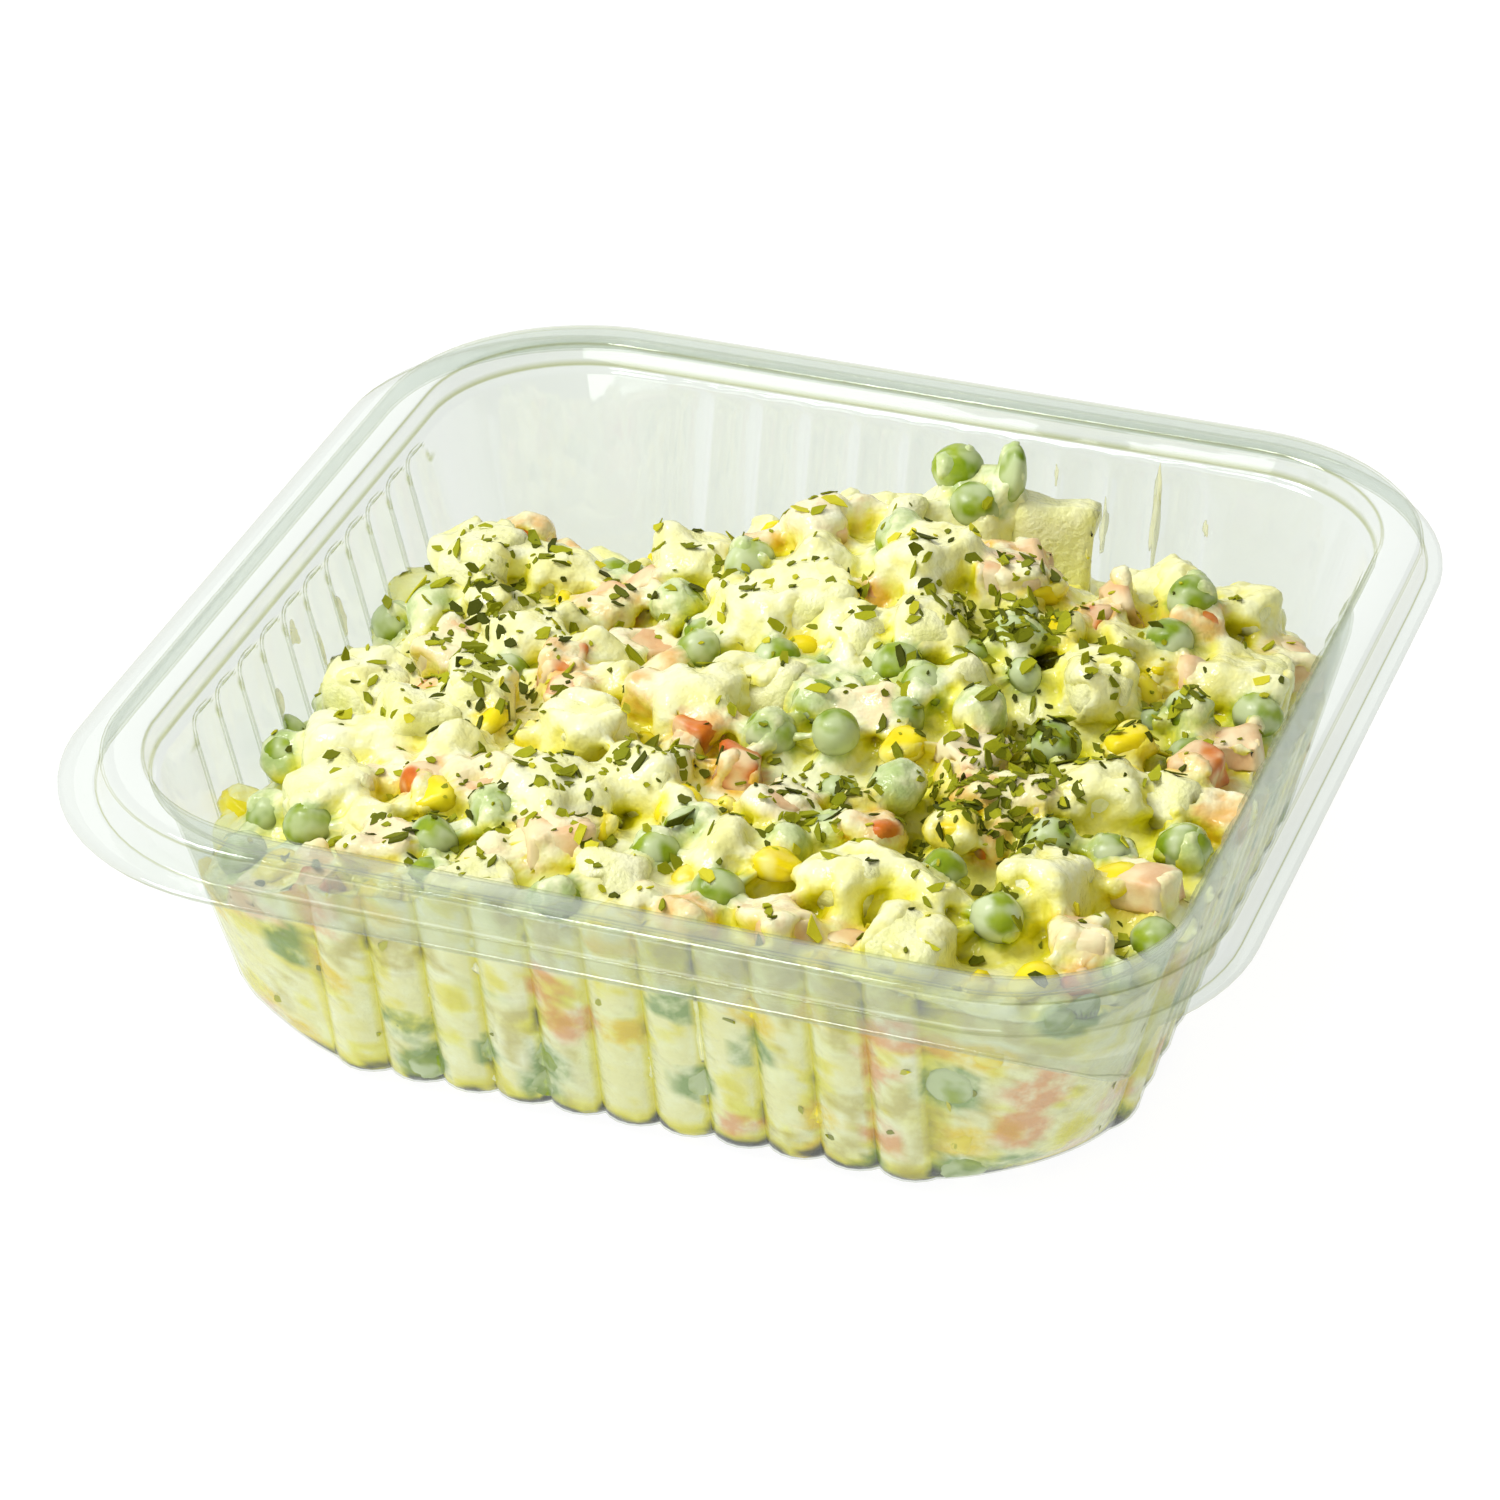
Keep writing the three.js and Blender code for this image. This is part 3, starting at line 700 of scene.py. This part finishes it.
def template(cuts, rounded):  # the points of a cube or a ball between -1 and 1, and their faces
    bm = bmesh.new()
    if rounded:
        bmesh.ops.create_icosphere(bm, subdivisions=cuts, radius=1.0)
    else:
        bmesh.ops.create_cube(bm, size=2.0)
        bmesh.ops.subdivide_edges(bm, edges=bm.edges, cuts=cuts, use_grid_fill=True)
    return pointsAndFaces(bm)


def pointsAndFaces(bm):
    bm.verts.index_update()
    points = np.array([v.co[:] for v in bm.verts])
    faces = [[v.index for v in f.verts] for f in bm.faces]
    bm.free()
    return points, faces


templates = {  # by rounded and coarse
    (False, False): template(5, False),
    (False, True): template(3, False),
    (True, False): template(3, True),
    (True, True): template(2, True),
}
corners = [(1, 1, 1), (1, 1, -1), (1, -1, 1), (1, -1, -1),
           (-1, 1, -1), (-1, 1, 1), (-1, -1, -1), (-1, -1, 1)]
kernel = {"ball": 0.5, "box": 0.42, "tip": 0.62, "widening": 0.42, "dent": 0.9, "dentSize": 0.2}
boiledPea = {"dent": 0.14, "dentSize": 0.3}
uneven = {"ball": (0.03, 4.0), "cut": (0.6, 8.0)}  # how much, and over what length


def rippleAt(points, seed, wave):  # a smooth seeded wobble between about -1 and 1
    draw = draws(seed)
    total = np.zeros(len(points))
    for _ in range(6):
        way = np.array([draw(-1, 1) for _ in range(3)])
        way *= 2 * pi / wave / np.linalg.norm(way) * draw(0.7, 1.5)
        total += np.sin(points @ way + draw(0, 6.3))
    return total / 2.4


def roundPiece(kind, number, base, half):
    points = base * half
    if kind == "corn":  # a blunt wedge with a dent in its crown, narrower towards its tip
        boxy = base / np.abs(base).max(axis=1)[:, None]
        points = (kernel["ball"] * base + kernel["box"] * boxy) * half
        taper = kernel["tip"] + kernel["widening"] * smoothStep(-1.0, 0.5, base[:, 0])
        points[:, 1:] *= taper[:, None]
        dent = np.exp(-(base[:, 1] ** 2 + base[:, 2] ** 2) / kernel["dentSize"]) * (base[:, 0] > 0)
        points[:, 0] -= kernel["dent"] * dent
    much, wave = uneven["ball"]
    points *= (1 + much * rippleAt(base * 3, 900 + number, wave))[:, None]
    if kind == "pea":  # dented on one side
        dent = np.array([cos(number), sin(number), 0.8]) / 1.28
        away = ((base - dent) ** 2).sum(axis=1)
        points *= (1 - boiledPea["dent"] * np.exp(-away / boiledPea["dentSize"]))[:, None]
    return points


def cutPiece(piece, number, base, half):  # a box with rounded edges, whose corners were cut by hand
    points = np.sign(base) * np.abs(base) ** 0.75 * half
    radius = kinds[piece["kind"]]["round"] * half.min()
    inner = np.clip(points, radius - half, half - radius)
    out = points - inner
    length = np.maximum(np.linalg.norm(out, axis=1), 1e-9)
    points = inner + out * (radius / length)[:, None]
    weights = [np.prod([(1 + c * base[:, a]) / 2 for a, c in enumerate(corner)], axis=0)
               for corner in corners]
    points *= sum(w * cut for w, cut in zip(weights, piece["cuts"]))[:, None]
    much, wave = uneven["cut"]
    return points + out / length[:, None] * (much * rippleAt(points, 400 + number, wave))[:, None]


def pieceShape(piece, number, grow=0.0):
    rounded = kinds[piece["kind"]]["round"] == 1
    base, faces = templates[(rounded, piece.get("coarse", False))]
    half = np.array(piece["size"]) / 2 + grow
    if rounded:
        points = roundPiece(piece["kind"], number, base, half)
    else:
        points = cutPiece(piece, number, base, half)
    a, b, c = piece["turn"]
    turn = Matrix.Rotation(a, 3, "X") @ Matrix.Rotation(b, 3, "Y") @ Matrix.Rotation(c, 3, "Z")
    return points @ np.array(turn).T + np.array(piece["at"]), faces


pieces = placePieces()
pieces += smallerPieces(pieces)
tightness = {"dressing": 0.35, "deep": 0.4, "between": 0.1}  # from the bowl's outside inwards
bodies = []
for number, piece in enumerate(pieces):
    points, faces = pieceShape(piece, number)
    under = piece["deep"] - tightness["between"] if "deep" in piece else tightness["deep"]
    bodies.append((clampToBowl(points, tightness["dressing"] + under), faces))
print("pieces", len(pieces))

filling = {  # the dressing fills the heap to a little under the middles of its pieces
    "half": 86.0, "cell": 2.0, "bottom": -4.0, "sunk": 3.0, "rough": 2.2,
    "waves": (0.12, 0.35),  # per mm
    "brim": 4.0,  # it comes up to the ring along the front wall
    "brimFrom": 79.0, "brimReach": 6.0,
}


def heapBlock(bm):
    steps = int(2 * filling["half"] / filling["cell"])
    grid = bmesh.ops.create_grid(bm, x_segments=steps, y_segments=steps, size=filling["half"])
    faces = list({f for v in grid["verts"] for f in v.link_faces})
    made = bmesh.ops.extrude_face_region(bm, geom=faces)
    top = [v for v in made["geom"] if isinstance(v, bmesh.types.BMVert)]
    for v in grid["verts"]:
        v.co.z = filling["bottom"]
    wide, narrow = filling["waves"]
    for v in top:
        rough = noise.noise(v.co * wide) + 0.4 * noise.noise(v.co * narrow)
        v.co.z = heapTop(v.co.x, v.co.y) - filling["sunk"] + filling["rough"] * rough
        v.co.z += filling["brim"] * exp(-(v.co.y + filling["brimFrom"]) / filling["brimReach"])
        for x, y, depth, spread in pits:
            v.co.z -= depth * bell(v.co.x, v.co.y, x, y, spread)
    bmesh.ops.recalc_face_normals(bm, faces=bm.faces)


hollow = {  # the inside of the bowl, to which the dressing is cut
    "floorRings": (0.35, 0.7),
    "heights": (0.6, 1.1, 1.6, 2.2, 3.0, *(4.2 + 1.3 * i for i in range(29)),
                41.6, 42.3, 42.8, 43.2, 43.39),
    "neck": (81.0, 26.5),  # half width and corner radius over the wall
    "neckHeights": (44.5, 75.0),
}


def bowlInside(gap):
    bm = bmesh.new()
    loops = [[Vector((p.x * k, p.y * k, p.z)) for p in bowlLoop(gap, gap)] for k in hollow["floorRings"]]
    loops += [bowlLoop(z, gap) for z in (gap, *hollow["heights"])]
    loops += [square(*hollow["neck"], z) for z in hollow["neckHeights"]]
    loft(bm, loops)
    count = len(loops[0])
    bm.verts.ensure_lookup_table()
    bm.faces.new(bm.verts[:count])
    bm.faces.new(bm.verts[-count:])
    bmesh.ops.recalc_face_normals(bm, faces=bm.faces)
    mesh = bpy.data.meshes.new("bowlInside")
    bm.to_mesh(mesh)
    bm.free()
    return mesh


coat = {  # lengths in mm, and waves per mm
    "seed": 4242,
    "grow": 0.75,  # how much the pieces are grown for the first, even coat
    "voxel": 0.98,
    "softenings": (7, 3),  # before and after the coat is shaped
    "reach": 2.4,  # the coat follows a piece as far as this
    "letGo": (0.9, 2.0),  # and lets go of it over this stretch
    "patches": (0.19, 0.5, 0.62),  # a wide and a fine wave, and the contrast between bare and coated
    "edge": (0.62, 0.84), "stray": (-0.3, 0.3),
    "depth": (0.7, 0.5, 0.14),  # how thick it is, how much that varies and in what wave
    "bareDepth": 0.65,  # how far the dressing lies under a bare surface
}


def shapeCoat(points):  # dressing clings to the pieces in an uneven coat, and leaves bare patches
    tree, owners = treeOf([pieceShape(p, n) for n, p in enumerate(pieces)])
    draw = draws(coat["seed"])
    bare = [max(p.get("bare", kinds[p["kind"]]["bare"]) + draw(*coat["stray"]), 0.0) for p in pieces]
    wide, fine, contrast = coat["patches"]
    depth, varies, wave = coat["depth"]
    for i, p in enumerate(points):
        at = Vector(p)
        place, normal, face, away = tree.find_nearest(at, coat["reach"])
        if place is None:
            continue
        owner = owners[face]
        patch = noise.noise(at * wide + Vector((owner * 3.1, 0, 0))) + 0.2 * noise.noise(at * fine)
        low, high = (edge - bare[owner] for edge in coat["edge"])
        mask = smoothStep(low, high, 0.5 + contrast * patch)
        coated = depth + varies * noise.noise(at * wave + Vector((7, 0, 0)))
        wanted = coated * (1 - mask) - coat["bareDepth"] * mask
        weight = 1 - smoothStep(*coat["letGo"], away)
        points[i] = at + normal * ((wanted - (at - place).dot(normal)) * weight)


def buildDressing():
    bm = bmesh.new()
    heapBlock(bm)
    bm.from_mesh(joined([pieceShape(p, n, coat["grow"]) for n, p in enumerate(pieces)]))
    first, second = coat["softenings"]
    mesh = evaluated(bm, [("REMESH", {"mode": "VOXEL", "voxel_size": coat["voxel"]}),
                          ("SMOOTH", {"factor": 0.5, "iterations": first})])
    print("remeshed", len(mesh.polygons))
    points = coordinates(mesh)
    shapeCoat(points)
    mesh.vertices.foreach_set("co", points.ravel())
    bm = bmesh.new()
    bm.from_mesh(mesh)
    bowl = bowlInside(tightness["dressing"])
    cutter = inScene("bowlInside", bowl)
    inBowl = {"operation": "INTERSECT", "solver": "MANIFOLD", "object": cutter}
    cut = evaluated(bm, [("SMOOTH", {"factor": 0.5, "iterations": second}), ("BOOLEAN", inBowl)])
    print("dressing triangles", sum(len(p.vertices) - 2 for p in cut.polygons))
    bpy.data.objects.remove(cutter)
    bpy.data.meshes.remove(bowl)
    return cut


lumps = {"wide": 3.4, "narrow": 1.8, "high": 0.5, "clear": 1.6}


def roughen(mesh):  # the fine lumps of stirred dressing, away from the wall
    points, normals = coordinates(mesh), coordinates(mesh, "vertex_normals", "vector")
    free = np.linalg.norm(clampToBowl(points, lumps["clear"]) - points, axis=1) < 0.01
    for i in np.flatnonzero(free & (points[:, 2] > lumps["clear"])):
        at = Vector(points[i])
        rise = noise.noise(at / lumps["wide"]) + 0.5 * noise.noise(at / lumps["narrow"])
        points[i] += normals[i] * (lumps["high"] * rise)
    mesh.vertices.foreach_set("co", points.ravel())
    mesh.update()


outlook = {"far": 8.0, "ways": 12, "spin": 2.39996}  # how each point looks out for what stands over it
fan = []
for i in range(outlook["ways"]):
    up, spin = sqrt((i + 0.5) / outlook["ways"]), outlook["spin"] * i
    side = sqrt(1 - up * up)
    fan.append(Vector((side * cos(spin), side * sin(spin), up)))


def crevices(mesh, tree, start):  # how deep in a crevice each point lies, as the share of rays that are blocked; this is used as painted shade
    points, normals = coordinates(mesh), coordinates(mesh, "vertex_normals", "vector")
    painted_shade, far = np.zeros(len(points)), outlook["far"]
    for i, (p, n) in enumerate(zip(points, normals)):
        at, normal = Vector(p), Vector(n)
        turn = normal.to_track_quat("Z", "Y").to_matrix()
        hits = (tree.ray_cast(at + normal * start, turn @ ray, far)[3] for ray in fan)
        painted_shade[i] = sum(1 - away / far for away in hits if away is not None) / len(fan)
    return painted_shade


tints = {  # what a piece gives the dressing close over it, and what shows of it at the wall; the gap's colour at the wall is painted shade between the pieces
    "potato": ("#f0ec9c", "#efecac"), "slab": ("#eeeb9a", "#efecac"), "carrot": ("#eabb70", "#e6b078"),
    "ham": ("#efdaa8", "#ebceaa"), "pea": ("#b0c47c", "#8ba65a"), "corn": ("#efe04a", "#ecd22c"),
    "gap": ("#ffffff", "#c2b76c"),
}
shading = {
    "sight": 3.0,  # how far under the dressing a piece can show
    "thin": (0.3, 1.5),
    "yellower": 0.1,  # the right side is made a little yellower by adding to the painted shade
    "yellowerFrom": (5.0, 40.0), "pitReach": 1.7, "pitUnder": 1.5,
    "pitDark": 0.55,  # painted shade: the gaps in the heap are painted nearly black
}
atWall = {  # painted shade of the dressing at the wall: share, and the range over which it comes in
    # hollow is painted shade in wavy patches, and gap is painted shade where no piece is near
    "ground": 0.07, "hollow": (0.27, 0.05, 0.55), "gap": (0.08, 1.6, 3.0),
    "line": (0.3, 0.6, 0.0),  # painted shade in each crease between two flutes
    # foot is a painted shadow near the table
    "foot": (0.8, 5.5, 1.0), "waves": (0.17, 0.4, 0.3), "gapTint": 1.8, "thin": (0.8, 2.1),
}


def shade(mesh, own, tree, owners):  # paints shade into crevices, gaps and the wall, and the thinness and the tint of what lies under each point
    points = coordinates(mesh)
    painted_shade = crevices(mesh, own, 0.15)
    thin = np.zeros(len(points))
    apart = np.full(len(points), shading["sight"])
    tint = np.ones((len(points), 4))
    kindAt = [None] * len(points)
    for i, p in enumerate(points):
        place, _, face, away = tree.find_nearest(Vector(p), shading["sight"])
        if place is not None:
            apart[i] = away
            kindAt[i] = pieces[owners[face]]["kind"]
            tint[i] = linear(tints[kindAt[i]][0])
            thin[i] = 1 - smoothStep(*shading["thin"], away)
    # painted shade in the heap's gaps
    for x, y, _, _ in pits:
        far = (points[:, 0] - x) ** 2 + (points[:, 1] - y) ** 2
        near = np.exp(-far / (2 * shading["pitReach"] ** 2))
        near *= points[:, 2] < heapTop(x, y) - shading["pitUnder"]
        painted_shade += shading["pitDark"] * near
    # the right side goes a little yellower and darker along the painted-shade ramp
    painted_shade += shading["yellower"] * smoothStep(*shading["yellowerFrom"], points[:, 0])
    moved = clampToBowl(points, tightness["dressing"] + tightness["between"]) - points
    for i in np.flatnonzero(np.linalg.norm(moved, axis=1) > 0.05):
        # painted shade where the dressing presses on the wall, with the darker gap colour between the pieces
        painted_shade[i] = wallShade(points[i], apart[i])
        gap = smoothStep(*atWall["gap"][1:], apart[i])
        thin[i] = max(1.15 * (1 - smoothStep(*atWall["thin"], apart[i])), 0.8 * gap)
        tint[i] = linear(tints["gap" if apart[i] > atWall["gapTint"] else kindAt[i]][1])
    store(mesh, "painted_shade", "FLOAT", painted_shade)
    store(mesh, "thin", "FLOAT", thin)
    store(mesh, "tint", "FLOAT_COLOR", tint)


def wallShade(point, apart):  # the painted shade of the dressing where it is pressed against the wall
    x, y, z = point
    at = Vector(point)
    along = y if abs(x) > abs(y) else x
    flute = along / tray["pitch"] + tray["flutes"] / 2
    crease = abs(flute - round(flute)) * tray["pitch"]
    wide, narrow, patchy = atWall["waves"]
    values = {"hollow": noise.noise(at * wide) + 0.5 * noise.noise(at * narrow), "gap": apart,
              "line": crease, "foot": z}
    depth = {name: atWall[name][0] * float(smoothStep(*atWall[name][1:], value))
             for name, value in values.items()}
    depth["line"] *= abs(along) < span / 2 + 0.5 and z > 2
    depth["foot"] *= 0.8 + 0.9 * noise.noise(at * patchy + Vector((0, 0, 9)))
    return atWall["ground"] + sum(depth.values())


dressingMesh = buildDressing()
roughen(dressingMesh)
print("dressing", len(dressingMesh.polygons), "faces")
bodyTree, bodyOwners = treeOf(bodies)
outlines = [p.vertices[:] for p in dressingMesh.polygons]
dressingTree = BVHTree.FromPolygons(coordinates(dressingMesh).tolist(), outlines)
shade(dressingMesh, dressingTree, bodyTree, bodyOwners)
film = placed("dressing", dressingMesh, mayonnaise)
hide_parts("salad")
print("dressing shaded")

coatDraw = draws(616)
coatShare = [coatDraw(0.65, 1.0) for piece in pieces]
for kind, material in flesh.items():
    own = [i for i, piece in enumerate(pieces) if piece["kind"].replace("slab", "potato") == kind]
    shapes = [bodies[i] for i in own]
    mesh = joined(shapes)
    # painted shade in the crevices round each piece
    store(mesh, "painted_shade", "FLOAT", crevices(mesh, dressingTree, 0.8))
    sizes = [len(shape[0]) for shape in shapes]
    store(mesh, "coated", "FLOAT", np.repeat([coatShare[i] for i in own], sizes))
    body = placed(kind, mesh, material)
    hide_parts("salad")
    print(kind, len(shapes), "pieces", len(mesh.polygons), "faces")

smears = {
    "seed": 808, "thick": 0.3, "uneven": 0.3, "wave": 5.0,
    "places": [  # side, place along it, height, width, length
        ("left", 7.7, 31.2, 3.0, 6.0), ("left", -8.2, 36.6, 2.2, 4.0), ("left", -18.9, 29.8, 3.2, 5.0),
        ("left", 6.2, 35.2, 2.0, 3.0), ("left", -1.3, 30.2, 2.2, 5.5), ("left", -27.0, 25.0, 2.6, 4.0),
        ("back", 39.0, 34.5, 1.5, 15.0), ("back", 30.4, 31.0, 1.2, 8.5), ("back", 47.7, 34.1, 1.0, 2.6),
        ("back", 21.4, 38.6, 0.8, 3.6),
    ],
}
beyond = 90.0  # outside the bowl, so that a point there is brought back to its wall


def buildSmears():
    base, faces = template(3, True)
    shapes = []
    for number, (side, along, height, width, length) in enumerate(smears["places"]):
        ripple = rippleAt(base * 4, smears["seed"] + number, smears["wave"])
        wobble = 1 + smears["uneven"] * ripple
        across = along + base[:, 1] * width / 2 * wobble
        z = height + base[:, 2] * length / 2 * wobble
        far = np.full(len(base), beyond)
        outside = np.column_stack((-far, across, z) if side == "left" else (across, far, z))
        points = clampToBowl(outside, tray["sheet"] - 0.05)
        inward = smears["thick"] * (1 - base[:, 0]) / 2
        points[:, 0 if side == "left" else 1] += inward * (1 if side == "left" else -1)
        shapes.append((points, faces))
    return shapes


herbs = {
    "seed": 321, "count": 1600, "alongX": (-74, 74), "alongY": (-74, 44), "edge": 76,
    "long": (1.0, 4.8),
    "shorter": 1.5,  # over 1 more of the flakes are short
    "stalks": 0.07,  # the share of the flakes that are longer
    "stalkLong": 1.6,
    "wide": (0.3, 0.85),  # as a share of the length
    "widest": 2.4, "thick": 0.22, "ragged": (0.5, 1.15), "curl": (-0.25, 0.35),
    "upturned": 0.2,  # the share that stands up
    "lean": (0.3, 0.9),  # of the lying and of the upturned ones
    "above": 0.12,
    "clusterShade": 0.6,  # those in the clusters are darker
    "clusters": [  # x, y, spread, share
        (47, -14, 7, 0.12), (47, -36, 6, 0.08), (33, 14, 6, 0.1), (38, -28, 5, 0.04),
        (-52, 2, 9, 0.06), (-44, -18, 9, 0.06), (-50, 14, 7, 0.04), (17, -39, 7, 0.05),
        (-18, -50, 9, 0.04), (-35, -60, 8, 0.04), (-8, -37, 6, 0.03), (60, 6, 8, 0.04),
        (17, 8, 9, 0.03), (-20, 22, 9, 0.03),
    ],
}
onWall = {  # flakes pressed against the inside of the wall
    "count": 45, "along": (-66, 66), "height": (3, 42), "below": 4, "gap": 0.3, "long": (1.2, 3.4),
    "wide": (0.8, 1.8), "thick": 0.12,
    "shade": (0.3, 0.7),  # the least, and what a draw adds
}


def raggedEdge(draw):  # the six corners of a flake are drawn in or out
    return np.array([[draw(*herbs["ragged"])] for _ in range(6)]).repeat(2, axis=0)


def turned(draw, points, facing, place):  # a flake spun about the way it faces
    turn = facing.to_track_quat("Z", "Y").to_matrix()
    turn = turn @ Matrix.Rotation(draw(0, pi), 3, "Z")
    return points @ np.array(turn).T + np.array(place)


def buildHerbs():
    draw = draws(herbs["seed"])
    bm = bmesh.new()
    bmesh.ops.create_cone(bm, cap_ends=True, segments=6, radius1=1.0, radius2=1.0, depth=1.0)
    base, faces = pointsAndFaces(bm)
    shapes = []
    while len(shapes) < herbs["count"]:
        pick = draw()
        x, y = draw(*herbs["alongX"]), draw(*herbs["alongY"])
        for middleX, middleY, spread, share in herbs["clusters"]:
            pick -= share
            if pick < 0:
                away = spread * sqrt(-2 * log(max(draw(), 1e-6)))
                angle = draw(0, 2 * pi)
                x, y = middleX + away * cos(angle), middleY + away * sin(angle)
                break
        place, normal = topAt(x, y)
        if place is None:
            continue
        least, most = herbs["long"]
        length = least + (most - least) * draw() ** herbs["shorter"]
        length *= herbs["stalkLong"] if draw() < herbs["stalks"] else 1.0
        width = min(length * draw(*herbs["wide"]), herbs["widest"])
        points = base * np.array([length / 2, width / 2, herbs["thick"]])
        points[:, :2] *= raggedEdge(draw)
        points[:, 2] += draw(*herbs["curl"]) * (points[:, 0] / length * 2) ** 2 * length * 0.5
        lean = Vector([draw(-1, 1) for _ in range(3)])
        lean *= herbs["lean"][draw() < herbs["upturned"]]
        points = turned(draw, points, (normal + lean).normalized(), place + normal * herbs["above"])
        shades = draw() * (herbs["clusterShade"] if pick < 0 else 1.0)
        shapes.append((points, faces, shades))
    return shapes + wallFlakes(draw, base, faces)


def wallFlakes(draw, base, faces):
    shapes = []
    while len(shapes) < onWall["count"]:
        along, z = draw(*onWall["along"]), draw(*onWall["height"])
        side = Matrix.Rotation(int(draw(0, 4)) * pi / 2, 3, "Z")
        outside = np.array([side @ Vector((beyond, along, z))])
        place = Vector(clampToBowl(outside, onWall["gap"])[0])
        if z > heapTop(place.x, place.y) - onWall["below"]:
            continue
        long, wide = draw(*onWall["long"]), draw(*onWall["wide"])
        points = base * np.array([long / 2, wide / 2, onWall["thick"]]) * raggedEdge(draw)
        points = turned(draw, points, side @ Vector((1, 0, -0.24)), place)
        least, added = onWall["shade"]
        shapes.append((points, faces, least + added * draw()))
    return shapes


def topAt(x, y):  # the place on top of the heap, and the way it faces
    if max(abs(x), abs(y)) > herbs["edge"]:
        return None, None
    best = (None, None)
    for tree in (dressingTree, bodyTree):
        place, normal, _, _ = tree.ray_cast(Vector((x, y, 80)), Vector((0, 0, -1)))
        if place is not None and (best[0] is None or place.z > best[0].z):
            best = (place, normal)
    return best


smearMesh = joined(buildSmears())
smear = placed("dressing_smears", smearMesh, wipedFilm)
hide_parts("salad")

flakeShapes = buildHerbs()
flakeMesh = joined(flakeShapes)
store(flakeMesh, "shade", "FLOAT", np.repeat([shape[2] for shape in flakeShapes], 12))
flakes = placed("herb_flakes", flakeMesh, parsley, smooth=False)
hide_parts("salad")
print("herbs", herbs["count"])

table = {"half": 3.0, "under": 0.0003, "colour": "#646464", "glow": 0.94}  # m


def paleFloor(tree, coords):
    # an opal light table: a matt white sheet, lit a little from below
    return add(tree, "BsdfPrincipled", {"Base Color": table["colour"], "Roughness": 0.9,
                                        "Emission Color": "#ffffff", "Emission Strength": table["glow"]})


bm = bmesh.new()
bmesh.ops.create_grid(bm, x_segments=1, y_segments=1, size=table["half"])
floorMesh = bpy.data.meshes.new("floor")
bm.to_mesh(floorMesh)
bm.free()
floorMesh.materials.append(newMaterial("opal light table", paleFloor))
floor = inScene("floor", floorMesh)
floor.location.z = -table["under"]

lamps = [  # name, place, size, watts
    ("key", (-0.62, -0.28, 0.92), 0.34, 7.4),
    ("fill", (-0.1, -1.25, 0.12), 0.9, 6.9),
    ("spark", (-0.27, -0.33, 1.0), 0.15, 1.6),
    ("back", (-0.25, 1.0, 0.65), 0.8, 2.0),
]
for name, place, size, watts in lamps:
    light = bpy.data.lights.new(name, "AREA")
    light.size = size
    light.energy = watts
    lamp = inScene(name, light)
    lamp.location = place
    lamp.rotation_euler = (Vector((0, 0, 0.03)) - Vector(place)).to_track_quat("-Z", "Y").to_euler()

world = bpy.data.worlds.new("studio")
world.use_nodes = True
sky = world.node_tree  # white all round, and brighter on the side of the window
sideways = add(sky, "SeparateXYZ", {0: add(sky, "TexCoord", {}, "Generated")}, "X")
level = add(sky, "MapRange", {"Value": sideways, "From Min": -0.9, "From Max": 0.7,
                              "To Min": 0.78, "To Max": 0.26})
sky.nodes["Background"].inputs["Color"].default_value = linear("#ffffff")
sky.links.new(level, sky.nodes["Background"].inputs["Strength"])
bpy.context.scene.world = world
bpy.context.scene.view_settings.view_transform = "Standard"
bpy.context.scene.cycles.transparent_max_bounces = 32

view = {  # mm
    "place": (258.1, -746.6, 513.0), "right": (0.94373, 0.33071, 0.0),
    "up": (-0.17358, 0.49534, 0.85118), "lens": 140.5, "sensor": 36.0,
}
lens = bpy.data.cameras.new("camera")
lens.lens = view["lens"]
lens.sensor_width = view["sensor"]
camera = inScene("camera", lens)
right, up = Vector(view["right"]), Vector(view["up"])
axes = Matrix((right, up, right.cross(up))).transposed().to_4x4()
camera.matrix_world = Matrix.Translation(Vector(view["place"]) / 1000) @ axes
bpy.context.scene.camera = camera
